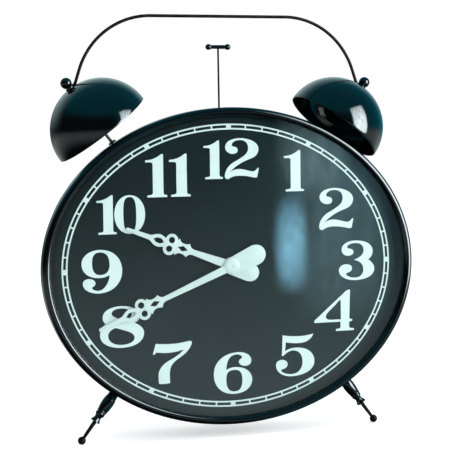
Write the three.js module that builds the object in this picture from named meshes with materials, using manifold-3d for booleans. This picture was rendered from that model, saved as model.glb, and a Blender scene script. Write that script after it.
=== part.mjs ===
// An oversize twin-bell alarm clock with an oval case, modelled piece by piece.
// Units are millimetres. +X is the clock's right as you face it, +Y points to its back, +Z is up.
// The origin is on the ground, under the plane that holds the middles of both bells.
import * as THREE from "three";
import { mergeVertices } from "three/addons/utils/BufferGeometryUtils.js";
import Module from "manifold-3d";

// ---------------------------------------------------------------- driving dimensions
const CASE_HALF_WIDTH = 300;
const CASE_HALF_HEIGHT = 246;
const DIAL_CENTRE_HEIGHT = 264.1;
const FIT_GAP = 0.3;
const RUNNING_GAP = 0.1;

// Distances along Y, from the bells' middle plane. Negative is towards the front.
const DIAL_FACE_Y = -41.5;
const DIAL_THICKNESS = 1.5;
const GLASS_THICKNESS = 2.7;
const GLASS_TO_DIAL = 13.2;
const BEZEL_FRONT_Y = -63.5;
const BEZEL_SKIRT_END_Y = -44;
const CASE_BACK_Y = 57;

// Insets, measured inwards from the largest oval.
const BEZEL_FACE_WIDTH = 12;
const SHELL_INSET = 3.5;
const SHELL_WALL = 1.2;
const FRONT_STACK_INSET = SHELL_INSET + SHELL_WALL + FIT_GAP;
const SERVICE_HOLE_INSET = 140;

const BELL_RADIUS = 80;
const BELL_DEPTH = 78.5;
const BELL_WALL = 1.5;
const BELL_LEAN_DEG = 37.6;
const BELL_RIM_X = 191.3;
const BELL_RIM_Z = 215.2;
const STUD_HOLE_RADIUS = 3.3;

const HANDLE_WIRE_RADIUS = 2.5;
const HANDLE_TOP_Z = 390;
const HANDLE_SHOULDER_RADIUS = 120;

const FOOT_BALL_RADIUS = 6.1;
const FRONT_FOOT = { x: 240.6, y: -33.4, z: -258.4 };
const FRONT_LEG_LEAN_DEG = 37;
const REAR_FOOT = { y: 72, z: -258.4 };
const REAR_LEG_LEAN_DEG = 46.5;

const HAMMER_Y = 6;
const HAMMER_PIVOT_Z = 214;
const HAMMER_HEAD_Z = 342.5;

const HOUR_TUBE_RADIUS = 4;
const MINUTE_ARBOR_RADIUS = 2.5;
const HAND_THICKNESS = 1.2;
const HOUR_HAND_Y = -46.1;
const MINUTE_HAND_Y = -49.1;
const TIME_MINUTES = 41.2;
const TIME_HOURS = 9;

const OVAL_STEPS = 56;
const ROUND_STEPS = 20;

const wasm = await Module();
wasm.setup();

const clock = new THREE.Group();
clock.position.z = DIAL_CENTRE_HEIGHT;

// ---------------------------------------------------------------- finishes
const finish = {
  gloss_black: { color: 0x070b0b, roughness: 0.18, metalness: 0.2 },
  dial_slate: { color: 0x15201f, roughness: 0.55, metalness: 0 },
  glass: { color: 0xdfe8e6, roughness: 0.03, metalness: 0, transparent: true, opacity: 0.2 },
  hand_white: { color: 0xe9eeec, roughness: 0.5, metalness: 0 },
  brass: { color: 0xb58c3e, roughness: 0.35, metalness: 0.9 },
  steel: { color: 0x9a9da0, roughness: 0.35, metalness: 0.9 },
  plastic_black: { color: 0x1b1c1d, roughness: 0.6, metalness: 0 },
  gear_white: { color: 0xd9d6cb, roughness: 0.5, metalness: 0 },
  rubber: { color: 0x151515, roughness: 0.9, metalness: 0 },
  board_green: { color: 0x1d4a2c, roughness: 0.5, metalness: 0 },
  battery_wrap: { color: 0x3a3f45, roughness: 0.35, metalness: 0.3 },
};

// ---------------------------------------------------------------- solids: joins and cuts
function solidOf(geometry) {
  const bare = geometry.index ? geometry.toNonIndexed() : geometry.clone();
  const positions = new THREE.BufferGeometry();
  positions.setAttribute("position", bare.getAttribute("position"));
  const merged = mergeVertices(positions, 1e-4);
  const mesh = new wasm.Mesh({
    numProp: 3,
    vertProperties: merged.attributes.position.array,
    triVerts: new Uint32Array(merged.index.array),
  });
  const solid = new wasm.Manifold(mesh);
  return solid.volume() < 0 ? solidOf(turnedInsideOut(merged)) : solid;
}

function turnedInsideOut(geometry) {
  const index = Array.from(geometry.index.array);
  for (let i = 0; i < index.length; i += 3) {
    [index[i + 1], index[i + 2]] = [index[i + 2], index[i + 1]];
  }
  const flipped = geometry.clone();
  flipped.setIndex(index);
  return flipped;
}

function geometryOf(solid) {
  const mesh = solid.getMesh();
  const geometry = new THREE.BufferGeometry();
  geometry.setAttribute("position", new THREE.BufferAttribute(mesh.vertProperties, 3));
  geometry.setIndex(new THREE.BufferAttribute(mesh.triVerts, 1));
  const flat = geometry.toNonIndexed();
  flat.computeVertexNormals();
  return flat;
}

const joined = (...geometries) => geometryOf(geometries.map(solidOf).reduce((a, b) => a.add(b)));
const cut = (body, ...tools) =>
  geometryOf(tools.map(solidOf).reduce((a, b) => a.subtract(b), solidOf(body)));
const common = (body, tool) => geometryOf(solidOf(body).intersect(solidOf(tool)));

// ---------------------------------------------------------------- shapes used by many pieces
// A turned piece about local Z, from [radius, height] points that end on the axis or close on themselves.
function turned(profile, steps = ROUND_STEPS) {
  const points = profile.map(([radius, height]) => new THREE.Vector2(radius, height));
  const lathe = new THREE.LatheGeometry(points, steps);
  lathe.rotateX(Math.PI / 2);
  return geometryOf(solidOf(lathe));
}

function disc(radius, low, high, steps = ROUND_STEPS) {
  return turned([[0, low], [radius, low], [radius, high], [0, high]], steps);
}

function tube(inner, outer, low, high, steps = ROUND_STEPS) {
  return turned([[inner, low], [outer, low], [outer, high], [inner, high], [inner, low]], steps);
}

function block(width, depth, height, x, y, z) {
  const box = new THREE.BoxGeometry(width, depth, height);
  box.translate(x, y, z);
  return box;
}

function prism(shape, low, high) {
  const solid = new THREE.ExtrudeGeometry(shape, { depth: high - low, bevelEnabled: false });
  solid.translate(0, 0, low);
  return solid;
}

function hexagon(acrossFlats, low, high) {
  const corner = acrossFlats / Math.sqrt(3);
  const shape = new THREE.Shape();
  for (let i = 0; i < 6; i += 1) {
    shape.lineTo(corner * Math.cos((i * Math.PI) / 3), corner * Math.sin((i * Math.PI) / 3));
  }
  const outline = new THREE.Shape(shape.getPoints().slice(1));
  return prism(outline, low, high);
}

// A group set down at a point, turned by angles about X and Y. Its own Z is the axis of what it holds.
function placed(point, { aboutX = 0, aboutY = 0 } = {}) {
  const group = new THREE.Group();
  group.position.copy(point);
  group.rotation.set(aboutX, aboutY, 0);
  group.updateMatrix();
  clock.add(group);
  return group;
}

// The same solid as it stands in the clock, and the clock's solid as it is seen from a group.
const outOf = (group, geometry) => geometry.clone().applyMatrix4(group.matrix);
const into = (group, geometry) => geometry.clone().applyMatrix4(group.matrix.clone().invert());

function add(parent, name, geometry, finishName) {
  const mesh = new THREE.Mesh(geometry, new THREE.MeshStandardMaterial(finish[finishName]));
  mesh.name = name;
  parent.add(mesh);
  return mesh;
}

function ovalPoint(inset, y, angle) {
  const x = (CASE_HALF_WIDTH - inset) * Math.cos(angle);
  const z = (CASE_HALF_HEIGHT - inset) * Math.sin(angle);
  return [x, y, z];
}

// A closed profile of [inset, y] points carried round the oval.
function ovalSweep(profile, steps = OVAL_STEPS) {
  const positions = [];
  for (let i = 0; i < steps; i += 1) {
    for (const [inset, y] of profile) {
      positions.push(...ovalPoint(inset, y, (i / steps) * 2 * Math.PI));
    }
  }
  const index = [];
  const count = profile.length;
  for (let i = 0; i < steps; i += 1) {
    for (let j = 0; j < count; j += 1) {
      const a = i * count + j;
      const b = i * count + ((j + 1) % count);
      const c = ((i + 1) % steps) * count + j;
      const d = ((i + 1) % steps) * count + ((j + 1) % count);
      index.push(a, b, c, b, d, c);
    }
  }
  return closedFrom(positions, index);
}

// The filled form inside a line of [inset, y] points, with flat ends.
function ovalSolid(line, steps = OVAL_STEPS) {
  const positions = [];
  for (const [inset, y] of line) {
    for (let i = 0; i < steps; i += 1) {
      positions.push(...ovalPoint(inset, y, (i / steps) * 2 * Math.PI));
    }
  }
  const index = [];
  for (let j = 0; j < line.length - 1; j += 1) {
    for (let i = 0; i < steps; i += 1) {
      const next = (i + 1) % steps;
      const a = j * steps + i;
      const b = j * steps + next;
      index.push(a, b, a + steps, b, b + steps, a + steps);
    }
  }
  const firstHub = positions.length / 3;
  positions.push(0, line[0][1], 0, 0, line[line.length - 1][1], 0);
  const lastRow = (line.length - 1) * steps;
  for (let i = 0; i < steps; i += 1) {
    const next = (i + 1) % steps;
    index.push(firstHub, next, i, firstHub + 1, lastRow + i, lastRow + next);
  }
  return closedFrom(positions, index);
}

function closedFrom(positions, index) {
  const geometry = new THREE.BufferGeometry();
  geometry.setAttribute("position", new THREE.Float32BufferAttribute(positions, 3));
  geometry.setIndex(index);
  return geometryOf(solidOf(geometry));
}

const ovalPlate = (inset, front, thickness) => ovalSolid([[inset, front], [inset, front + thickness]]);

// ---------------------------------------------------------------- case outline
// A pressed steel bowl: straight front rim, sides that draw in, a rounded back edge, an oval service hole.
const glassBackY = DIAL_FACE_Y - GLASS_TO_DIAL;
const glassFrontY = glassBackY - GLASS_THICKNESS;
const lipBackY = glassFrontY - FIT_GAP;
const SHELL_LINE = [
  [SHELL_INSET, glassFrontY],
  [SHELL_INSET, -37],
  [8.6, -12],
  [13.6, 14],
  [18.5, 36],
  [27, 50],
  [42, CASE_BACK_Y],
];
// The same line moved inwards, square to the wall at each bend.
function lineInside(distance) {
  return SHELL_LINE.map(([inset, y], i) => {
    if (i === 0) {
      return [inset + distance, y];
    }
    const before = SHELL_LINE[i - 1];
    const after = i < SHELL_LINE.length - 1 ? SHELL_LINE[i + 1] : [inset + 1, y];
    const square = new THREE.Vector2(after[1] - before[1], before[0] - after[0]).normalize();
    return [inset + square.x * distance, Math.min(y + square.y * distance, CASE_BACK_Y - distance)];
  });
}
const outsideKeepClear = ovalSolid(lineInside(-FIT_GAP));
const insideFree = ovalSolid(lineInside(SHELL_WALL + FIT_GAP));

// ---------------------------------------------------------------- places of bells, legs, hammer and screws
const sides = [
  { word: "left", sign: -1 },
  { word: "right", sign: 1 },
];
const point = (x, y, z) => new THREE.Vector3(x, y, z);
const radians = THREE.MathUtils.degToRad;
const bellLean = radians(BELL_LEAN_DEG);
const bellGroups = sides.map(({ sign }) =>
  placed(point(sign * BELL_RIM_X, 0, BELL_RIM_Z), { aboutY: sign * bellLean }),
);
const legLean = radians(FRONT_LEG_LEAN_DEG);
const legGroups = sides.map(({ sign }) =>
  placed(point(sign * FRONT_FOOT.x, FRONT_FOOT.y, FRONT_FOOT.z), { aboutY: -sign * legLean }),
);
const rearGroup = placed(point(0, REAR_FOOT.y, REAR_FOOT.z), { aboutX: radians(REAR_LEG_LEAN_DEG) });
const hammerGroup = placed(point(0, HAMMER_Y, HAMMER_PIVOT_Z));
// In the works group X stays, Y is up, and Z is the distance in front of the bells' plane.
const works = placed(point(0, 0, 0), { aboutX: Math.PI / 2 });
const SCREW_INSET = SERVICE_HOLE_INSET - 6;
const screwGroups = [45, 135, 225, 315].map((degrees) => {
  return placed(point(...ovalPoint(SCREW_INSET, CASE_BACK_Y, radians(degrees))), { aboutX: -Math.PI / 2 });
});

// ---------------------------------------------------------------- case shell
const POST_RADIUS = 2.4;
const LEG_STUD_RADIUS = 2.5;
const SCREW_RADIUS = 1.8;
const SLOT_LENGTH = 10.4;
const SLOT_WIDTH = 4.4;
const postHole = disc(POST_RADIUS + FIT_GAP, -52, 0);
const legHole = disc(LEG_STUD_RADIUS + FIT_GAP, 70, 120);
const rearHole = disc(LEG_STUD_RADIUS + FIT_GAP, 25, 70);
const hammerSlot = block(SLOT_LENGTH, SLOT_WIDTH, 30, 0, 0, 16);
const screwHole = disc(SCREW_RADIUS + FIT_GAP, -10, 10, 10);
const screwHoles = screwGroups.map((group) => outOf(group, screwHole));
const shellProfile = [
  ...SHELL_LINE,
  [SERVICE_HOLE_INSET, CASE_BACK_Y],
  [SERVICE_HOLE_INSET, CASE_BACK_Y - SHELL_WALL],
  ...lineInside(SHELL_WALL).reverse(),
];
const shell = cut(
  ovalSweep(shellProfile),
  ...bellGroups.map((group) => outOf(group, postHole)),
  ...legGroups.map((group) => outOf(group, legHole)),
  outOf(rearGroup, rearHole),
  outOf(hammerGroup, hammerSlot),
  ...screwHoles,
);
add(clock, "case_shell", shell, "gloss_black");

// ---------------------------------------------------------------- bezel, glass, spacer, dial
const skirtInside = SHELL_INSET - FIT_GAP;
const bezelProfile = [
  [BEZEL_FACE_WIDTH, lipBackY],
  [BEZEL_FACE_WIDTH, lipBackY - 2.2],
  [10.4, BEZEL_FRONT_Y + 1.2],
  [7, BEZEL_FRONT_Y],
  [3.8, BEZEL_FRONT_Y + 0.7],
  [1.2, BEZEL_FRONT_Y + 3.3],
  [0, BEZEL_FRONT_Y + 7],
  [0, BEZEL_SKIRT_END_Y],
  [skirtInside, BEZEL_SKIRT_END_Y],
  [skirtInside, lipBackY],
];
add(clock, "bezel_ring", ovalSweep(bezelProfile), "gloss_black");
add(clock, "glass_lens", ovalPlate(FRONT_STACK_INSET, glassFrontY, GLASS_THICKNESS), "glass");

const SPACER_INNER_INSET = 11;
const spacerFront = glassBackY + FIT_GAP;
const spacerBack = DIAL_FACE_Y - FIT_GAP;
const ringProfile = (inner, front, back) => [
  [FRONT_STACK_INSET, front],
  [FRONT_STACK_INSET, back],
  [inner, back],
  [inner, front],
];
const spacer = ovalSweep(ringProfile(SPACER_INNER_INSET, spacerFront, spacerBack));
add(clock, "spacer_ring", spacer, "gloss_black");

const BUSH_RADIUS = 5.5;
const bushHole = disc(BUSH_RADIUS + FIT_GAP, 30, 50);
const dial = cut(ovalPlate(FRONT_STACK_INSET, DIAL_FACE_Y, DIAL_THICKNESS), outOf(works, bushHole));
add(clock, "dial_plate", dial, "dial_slate");
const dialBackY = DIAL_FACE_Y + DIAL_THICKNESS;
const KEEPER_THICKNESS = 1.8;
const KEEPER_INNER_INSET = 16;
const keeperFront = dialBackY + FIT_GAP;
const keeper = ovalSweep(ringProfile(KEEPER_INNER_INSET, keeperFront, keeperFront + KEEPER_THICKNESS));
add(clock, "dial_keeper_ring", keeper, "steel");

// ---------------------------------------------------------------- back cover and its screws
const COVER_INSET = SERVICE_HOLE_INSET - 12;
const COVER_THICKNESS = 2;
const COVER_WINDOW = 88;
const coverPlate = ovalPlate(COVER_INSET, CASE_BACK_Y + FIT_GAP, COVER_THICKNESS);
const coverWindow = block(COVER_WINDOW, 20, COVER_WINDOW, 0, CASE_BACK_Y, 0);
add(clock, "back_cover", cut(coverPlate, coverWindow, ...screwHoles), "gloss_black");
const SCREW_HEAD_RADIUS = 4;
const headLow = COVER_THICKNESS + 2 * FIT_GAP;
const screwForm = turned(
  [
    [0, -6],
    [SCREW_RADIUS, -6],
    [SCREW_RADIUS, headLow],
    [SCREW_HEAD_RADIUS, headLow],
    [SCREW_HEAD_RADIUS * 0.7, headLow + 1.8],
    [0, headLow + 2.2],
  ],
  10,
);
screwGroups.forEach((group, i) => add(group, `back_screw_${i + 1}`, screwForm, "steel"));

// ---------------------------------------------------------------- bells, posts, ball nuts
// Local Z is the bell's axis, with zero in the plane of its rim.
const BELL_PAD_RADIUS = 10;
const BELL_STEPS = 32;
function bellArc(radius, depth, steps) {
  const points = [];
  const last = Math.acos(BELL_PAD_RADIUS / radius);
  for (let i = 0; i <= steps; i += 1) {
    const angle = (i / steps) * last;
    points.push([radius * Math.cos(angle), (depth * Math.sin(angle)) / Math.sin(last)]);
  }
  return points;
}
const bellProfile = [
  ...bellArc(BELL_RADIUS, BELL_DEPTH, 8),
  [STUD_HOLE_RADIUS, BELL_DEPTH],
  [STUD_HOLE_RADIUS, BELL_DEPTH - BELL_WALL],
  ...bellArc(BELL_RADIUS - BELL_WALL, BELL_DEPTH - BELL_WALL, 7).reverse(),
  [BELL_RADIUS, 0],
];
const bellForm = turned(bellProfile, BELL_STEPS);

const SHOULDER_TOP = BELL_DEPTH - BELL_WALL - FIT_GAP;
const SHOULDER_RADIUS = 7;
const POST_START = -54;
const POST_END = 88;
const COLLAR_RADIUS = 6.5;
const POST_NUT_FLATS = 12;
const postForm = turned([
  [0, POST_START],
  [POST_RADIUS, POST_START],
  [POST_RADIUS, SHOULDER_TOP - 3],
  [SHOULDER_RADIUS, SHOULDER_TOP - 2],
  [SHOULDER_RADIUS, SHOULDER_TOP],
  [POST_RADIUS, SHOULDER_TOP],
  [POST_RADIUS, POST_END],
  [0, POST_END],
], 12);
const collarForm = tube(POST_RADIUS + FIT_GAP, COLLAR_RADIUS, -50, -24, 16);
const postNutForm = cut(hexagon(POST_NUT_FLATS, -47, -30), disc(POST_RADIUS + FIT_GAP, -60, 0, 12));

const EYE_LOW = BELL_DEPTH + FIT_GAP;
const EYE_THICKNESS = 2.5;
const BALL_LOW = EYE_LOW + EYE_THICKNESS + FIT_GAP;
const BALL_RADIUS = 8.75;
const BALL_CENTRE = BALL_LOW + 7.6;
function ballNutProfile() {
  const hole = POST_RADIUS + FIT_GAP;
  const points = [[0, POST_END + FIT_GAP], [hole, POST_END + FIT_GAP], [hole, BALL_LOW]];
  const start = Math.asin((BALL_LOW - BALL_CENTRE) / BALL_RADIUS);
  for (let i = 0; i <= 9; i += 1) {
    const angle = start + (i / 9) * (Math.PI / 2 - start);
    points.push([BALL_RADIUS * Math.cos(angle), BALL_CENTRE + BALL_RADIUS * Math.sin(angle)]);
  }
  points[points.length - 1][0] = 0;
  return points;
}
const ballNutForm = turned(ballNutProfile(), 16);

sides.forEach(({ word }, i) => {
  const group = bellGroups[i];
  add(group, `bell_${word}`, bellForm, "gloss_black");
  add(group, `bell_post_${word}`, postForm, "gloss_black");
  add(group, `post_collar_${word}`, cut(collarForm, into(group, outsideKeepClear)), "gloss_black");
  add(group, `post_nut_${word}`, common(postNutForm, into(group, insideFree)), "steel");
  add(group, `ball_nut_${word}`, ballNutForm, "gloss_black");
});

// ---------------------------------------------------------------- carry handle
// A bent wire whose flattened, drilled ends sit on the posts between the bells and the ball nuts.
// SHOULDER is a point that each rising side aims at on its way up to the round shoulder.
const eyeMiddle = EYE_LOW + EYE_THICKNESS / 2;
const SHOULDER = { x: 218.1, z: 327.5 };
const WIRE_START = 4;
const WIRE_BEND = 10.5;
const WIRE_BEND_RADIUS = 9;
function handlePoints(group, sign) {
  const wireStart = point(-sign * WIRE_START, 0, eyeMiddle).applyMatrix4(group.matrix);
  const bend = point(-sign * WIRE_BEND, 0, eyeMiddle).applyMatrix4(group.matrix);
  return { wireStart, bend, shoulder: point(sign * SHOULDER.x, 0, SHOULDER.z) };
}
function roundedCorner(before, corner, after, radius, steps) {
  const inward = before.clone().sub(corner).normalize();
  const outward = after.clone().sub(corner).normalize();
  const half = inward.angleTo(outward) / 2;
  const reach = radius / Math.tan(half);
  const centre = inward.clone().add(outward).normalize();
  centre.multiplyScalar(radius / Math.sin(half)).add(corner);
  const start = corner.clone().addScaledVector(inward, reach).sub(centre);
  const end = corner.clone().addScaledVector(outward, reach).sub(centre);
  const points = [];
  for (let i = 0; i <= steps; i += 1) {
    const t = i / steps;
    const whole = start.angleTo(end);
    const a = Math.sin((1 - t) * whole) / Math.sin(whole);
    const b = Math.sin(t * whole) / Math.sin(whole);
    points.push(start.clone().multiplyScalar(a).addScaledVector(end, b).add(centre));
  }
  return points;
}
function handleSide(group, sign) {
  const { wireStart, bend, shoulder } = handlePoints(group, sign);
  const rise = shoulder.clone().sub(bend);
  const topCorner = bend.clone().addScaledVector(rise, (HANDLE_TOP_Z - bend.z) / rise.z);
  const top = point(0, 0, HANDLE_TOP_Z);
  return [
    wireStart,
    ...roundedCorner(wireStart, bend, topCorner, WIRE_BEND_RADIUS, 3),
    ...roundedCorner(bend, topCorner, top, HANDLE_SHOULDER_RADIUS, 12),
  ];
}
const handleLine = [...handleSide(bellGroups[0], -1), ...handleSide(bellGroups[1], 1).reverse()];
class PointPath extends THREE.Curve {
  constructor(points) {
    super();
    this.points = points;
  }
  getPoint(t, target = new THREE.Vector3()) {
    const place = t * (this.points.length - 1);
    const low = Math.min(Math.floor(place), this.points.length - 2);
    return target.copy(this.points[low]).lerp(this.points[low + 1], place - low);
  }
  getPointAt(t, target) {
    return this.getPoint(t, target);
  }
  getTangentAt(t, target = new THREE.Vector3()) {
    const place = Math.round(t * (this.points.length - 1));
    const before = this.points[Math.max(place - 1, 0)];
    const after = this.points[Math.min(place + 1, this.points.length - 1)];
    return target.copy(after).sub(before).normalize();
  }
}
function roundWire(points, radius, sidesCount) {
  const section = new THREE.Shape();
  for (let i = 0; i < sidesCount; i += 1) {
    const angle = (i / sidesCount) * 2 * Math.PI;
    const x = radius * Math.cos(angle);
    const y = radius * Math.sin(angle);
    if (i === 0) {
      section.moveTo(x, y);
    } else {
      section.lineTo(x, y);
    }
  }
  const extrudePath = new PointPath(points);
  return new THREE.ExtrudeGeometry(section, { steps: points.length - 1, bevelEnabled: false, extrudePath });
}
const EYE_RADIUS = 7;
const eyeTop = EYE_LOW + EYE_THICKNESS;
const eyeForm = tube(STUD_HOLE_RADIUS, EYE_RADIUS, EYE_LOW, eyeTop, 16);
const eyeHole = disc(STUD_HOLE_RADIUS, EYE_LOW - 3, eyeTop + 3, 16);
const belowEye = disc(BELL_PAD_RADIUS + 20, EYE_LOW - 6, EYE_LOW);
const aboveEye = disc(BALL_RADIUS + FIT_GAP, eyeTop, eyeTop + 15);
const eyes = bellGroups.map((group) => outOf(group, eyeForm));
const eyeTools = [eyeHole, belowEye, aboveEye];
const eyeCuts = bellGroups.flatMap((group) => eyeTools.map((tool) => outOf(group, tool)));
const handleWire = roundWire(handleLine, HANDLE_WIRE_RADIUS, 8);
add(clock, "carry_handle", cut(joined(handleWire, ...eyes), ...eyeCuts), "gloss_black");

// ---------------------------------------------------------------- legs
// Local Z runs from the foot's ball up into the case, with zero at the ball's middle.
function ballPoints(radius, neckRadius, steps) {
  const points = [];
  const end = Math.acos(neckRadius / radius);
  for (let i = 0; i <= steps; i += 1) {
    const angle = -Math.PI / 2 + (i / steps) * (end + Math.PI / 2);
    points.push([radius * Math.cos(angle), radius * Math.sin(angle)]);
  }
  points[0][0] = 0;
  return points;
}
const ROD_THIN = 2.5;
const ROD_THICK = 3.2;
const COLLAR_FACE = 34.7;
const SPIGOT_RADIUS = 2.3;
const SPIGOT_END = 44;
const legRodForm = turned([
  ...ballPoints(FOOT_BALL_RADIUS, ROD_THIN, 8),
  [ROD_THICK, COLLAR_FACE - FIT_GAP],
  [SPIGOT_RADIUS, COLLAR_FACE - FIT_GAP],
  [SPIGOT_RADIUS, SPIGOT_END],
  [0, SPIGOT_END],
], 16);
const SOCKET_RADIUS = SPIGOT_RADIUS + FIT_GAP;
const sleeveForm = turned([
  [0, SPIGOT_END + 1],
  [SOCKET_RADIUS, SPIGOT_END + 1],
  [SOCKET_RADIUS, COLLAR_FACE],
  [7.9, COLLAR_FACE],
  [7.6, COLLAR_FACE + 1.7],
  [5.2, 43],
  [5.6, 45],
  [7.7, 47.6],
  [7.9, 50],
  [7.2, 51.4],
  [8, 53],
  [7.5, 54.6],
  [8.1, 56.5],
  [8.6, 72],
  [7.9, 73.4],
  [8.7, 75.4],
  [8, 77.4],
  [8.7, 79.4],
  [8.7, 100],
  [0, 100],
], 16);
const legStud = disc(LEG_STUD_RADIUS, 80, 106, 12);
const legNutForm = cut(hexagon(8, 80, 98), disc(LEG_STUD_RADIUS + FIT_GAP, 70, 120, 12));
const floor = block(700, 400, 20, 0, 0, -DIAL_CENTRE_HEIGHT - 10);
sides.forEach(({ word }, i) => {
  const group = legGroups[i];
  const outer = cut(sleeveForm, into(group, outsideKeepClear));
  add(group, `leg_rod_${word}`, cut(legRodForm, into(group, floor)), "gloss_black");
  add(group, `leg_sleeve_${word}`, joined(outer, legStud), "gloss_black");
  add(group, `leg_nut_${word}`, common(legNutForm, into(group, insideFree)), "steel");
});

const rearLegForm = turned([
  ...ballPoints(FOOT_BALL_RADIUS, ROD_THICK, 8),
  [ROD_THICK, 24],
  [7, 27],
  [7, 62],
  [0, 62],
], 16);
const rearStud = disc(LEG_STUD_RADIUS, 30, 64, 12);
const rearNutForm = cut(hexagon(10, 40, 59), disc(LEG_STUD_RADIUS + FIT_GAP, 20, 80, 12));
const rearOuter = cut(rearLegForm, into(rearGroup, outsideKeepClear), into(rearGroup, floor));
add(rearGroup, "rear_leg", joined(rearOuter, rearStud), "gloss_black");
add(rearGroup, "rear_leg_nut", common(rearNutForm, into(rearGroup, insideFree)), "steel");

// ---------------------------------------------------------------- hammer
// The hammer group's zero is the middle of the pivot pin, which lies along Y.
const PIN_RADIUS = 1.5;
const HUB_RADIUS = 4;
const HUB_LENGTH = 6;
const HUB_FLAT = 3.2;
const HAMMER_ROD_RADIUS = 1.5;
const CHEEK_INSIDE = 4.2;
const CHEEK_OUTSIDE = 6.2;
const BRACKET_WIDTH = 22;
const BRACKET_LOW = -9;
const BRACKET_HIGH = 20;
const PLATE_LOW = 16;
const LEAF_Z = -4.2;
const EAR_X = 9;
const alongY = (geometry) => geometry.rotateX(-Math.PI / 2);
const pinHole = alongY(disc(PIN_RADIUS + RUNNING_GAP, -20, 20, 16));
const bracketBlock = block(
  BRACKET_WIDTH,
  2 * CHEEK_OUTSIDE,
  BRACKET_HIGH - BRACKET_LOW,
  0,
  0,
  (BRACKET_HIGH + BRACKET_LOW) / 2,
);
const betweenCheeks = block(30, 2 * CHEEK_INSIDE, 40, 0, 0, PLATE_LOW - 20);
const rodSlot = block(8.6, 4.4, 20, 0, 0, PLATE_LOW + 5);
const earNotches = [-1, 1].map((side) => block(1.8, 20, 1.8, side * EAR_X, 0, LEAF_Z));
const bracket = cut(bracketBlock, betweenCheeks, rodSlot, pinHole, ...earNotches);
add(hammerGroup, "hammer_bracket", common(bracket, into(hammerGroup, insideFree)), "steel");
add(hammerGroup, "hammer_pin", alongY(disc(PIN_RADIUS, -7.2, 7.2, 16)), "steel");
const leaf = block(2 * EAR_X, 2 * (CHEEK_INSIDE - FIT_GAP), 0.6, 0, 0, LEAF_Z);
const ears = [-1, 1].map((side) => block(1.2, 2 * CHEEK_OUTSIDE + 1.6, 1.2, side * EAR_X, 0, LEAF_Z));
add(hammerGroup, "hammer_leaf_spring", joined(leaf, ...ears), "steel");

const headZ = HAMMER_HEAD_Z - HAMMER_PIVOT_Z;
const hub = alongY(disc(HUB_RADIUS, -HUB_LENGTH / 2, HUB_LENGTH / 2, 16));
const hammerRod = disc(HAMMER_ROD_RADIUS, PIN_RADIUS + 1, headZ - 0.8, 12);
const hubFlat = block(12, 12, 6, 0, 0, -HUB_FLAT - 3);
add(hammerGroup, "hammer_rod", cut(joined(hub, hammerRod), pinHole, hubFlat), "gloss_black");

const HEAD_BALL_RADIUS = 4.7;
const HEAD_BALL_X = 16;
const HEAD_BAR_RADIUS = 3.1;
const headBall = ballPoints(HEAD_BALL_RADIUS, HEAD_BAR_RADIUS, 6).map(([r, h]) => [r, h - HEAD_BALL_X]);
const headMirror = headBall.map(([r, h]) => [r, -h]).reverse();
const headBar = turned([...headBall, ...headMirror], 12).rotateY(Math.PI / 2).translate(0, 0, headZ);
const rodSocket = disc(HAMMER_ROD_RADIUS + FIT_GAP, headZ - 8, headZ - 0.4, 12);
add(hammerGroup, "hammer_head", cut(headBar, rodSocket), "gloss_black");

// ---------------------------------------------------------------- hands
// Drawn pointing along +Y from the arbor's middle. Both hands carry the same ornament.
const RING_SPREAD = 7.1;
const RING_OUTER = 9.7;
const RING_HOLE = 4.9;
function polygon(points) {
  return new THREE.Shape(points.map(([x, y]) => new THREE.Vector2(x, y)));
}
const mirroredOutline = (points) => [...points, ...points.map(([x, y]) => [-x, y]).reverse()];
const flat = (shape) => prism(shape, 0, HAND_THICKNESS);
const cutter = (shape) => prism(shape, -1, HAND_THICKNESS + 1);
function roundAt(x, y, radius, steps) {
  const points = [];
  for (let i = 0; i < steps; i += 1) {
    const angle = (i / steps) * 2 * Math.PI;
    points.push([x + radius * Math.cos(angle), y + radius * Math.sin(angle)]);
  }
  return polygon(points);
}
function scoop(x, y, radius, from, to, steps) {
  const points = [];
  for (let i = 0; i <= steps; i += 1) {
    const angle = THREE.MathUtils.degToRad(from + (i / steps) * (to - from));
    points.push([x + radius * Math.cos(angle), y + radius * Math.sin(angle)]);
  }
  return points;
}
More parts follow.
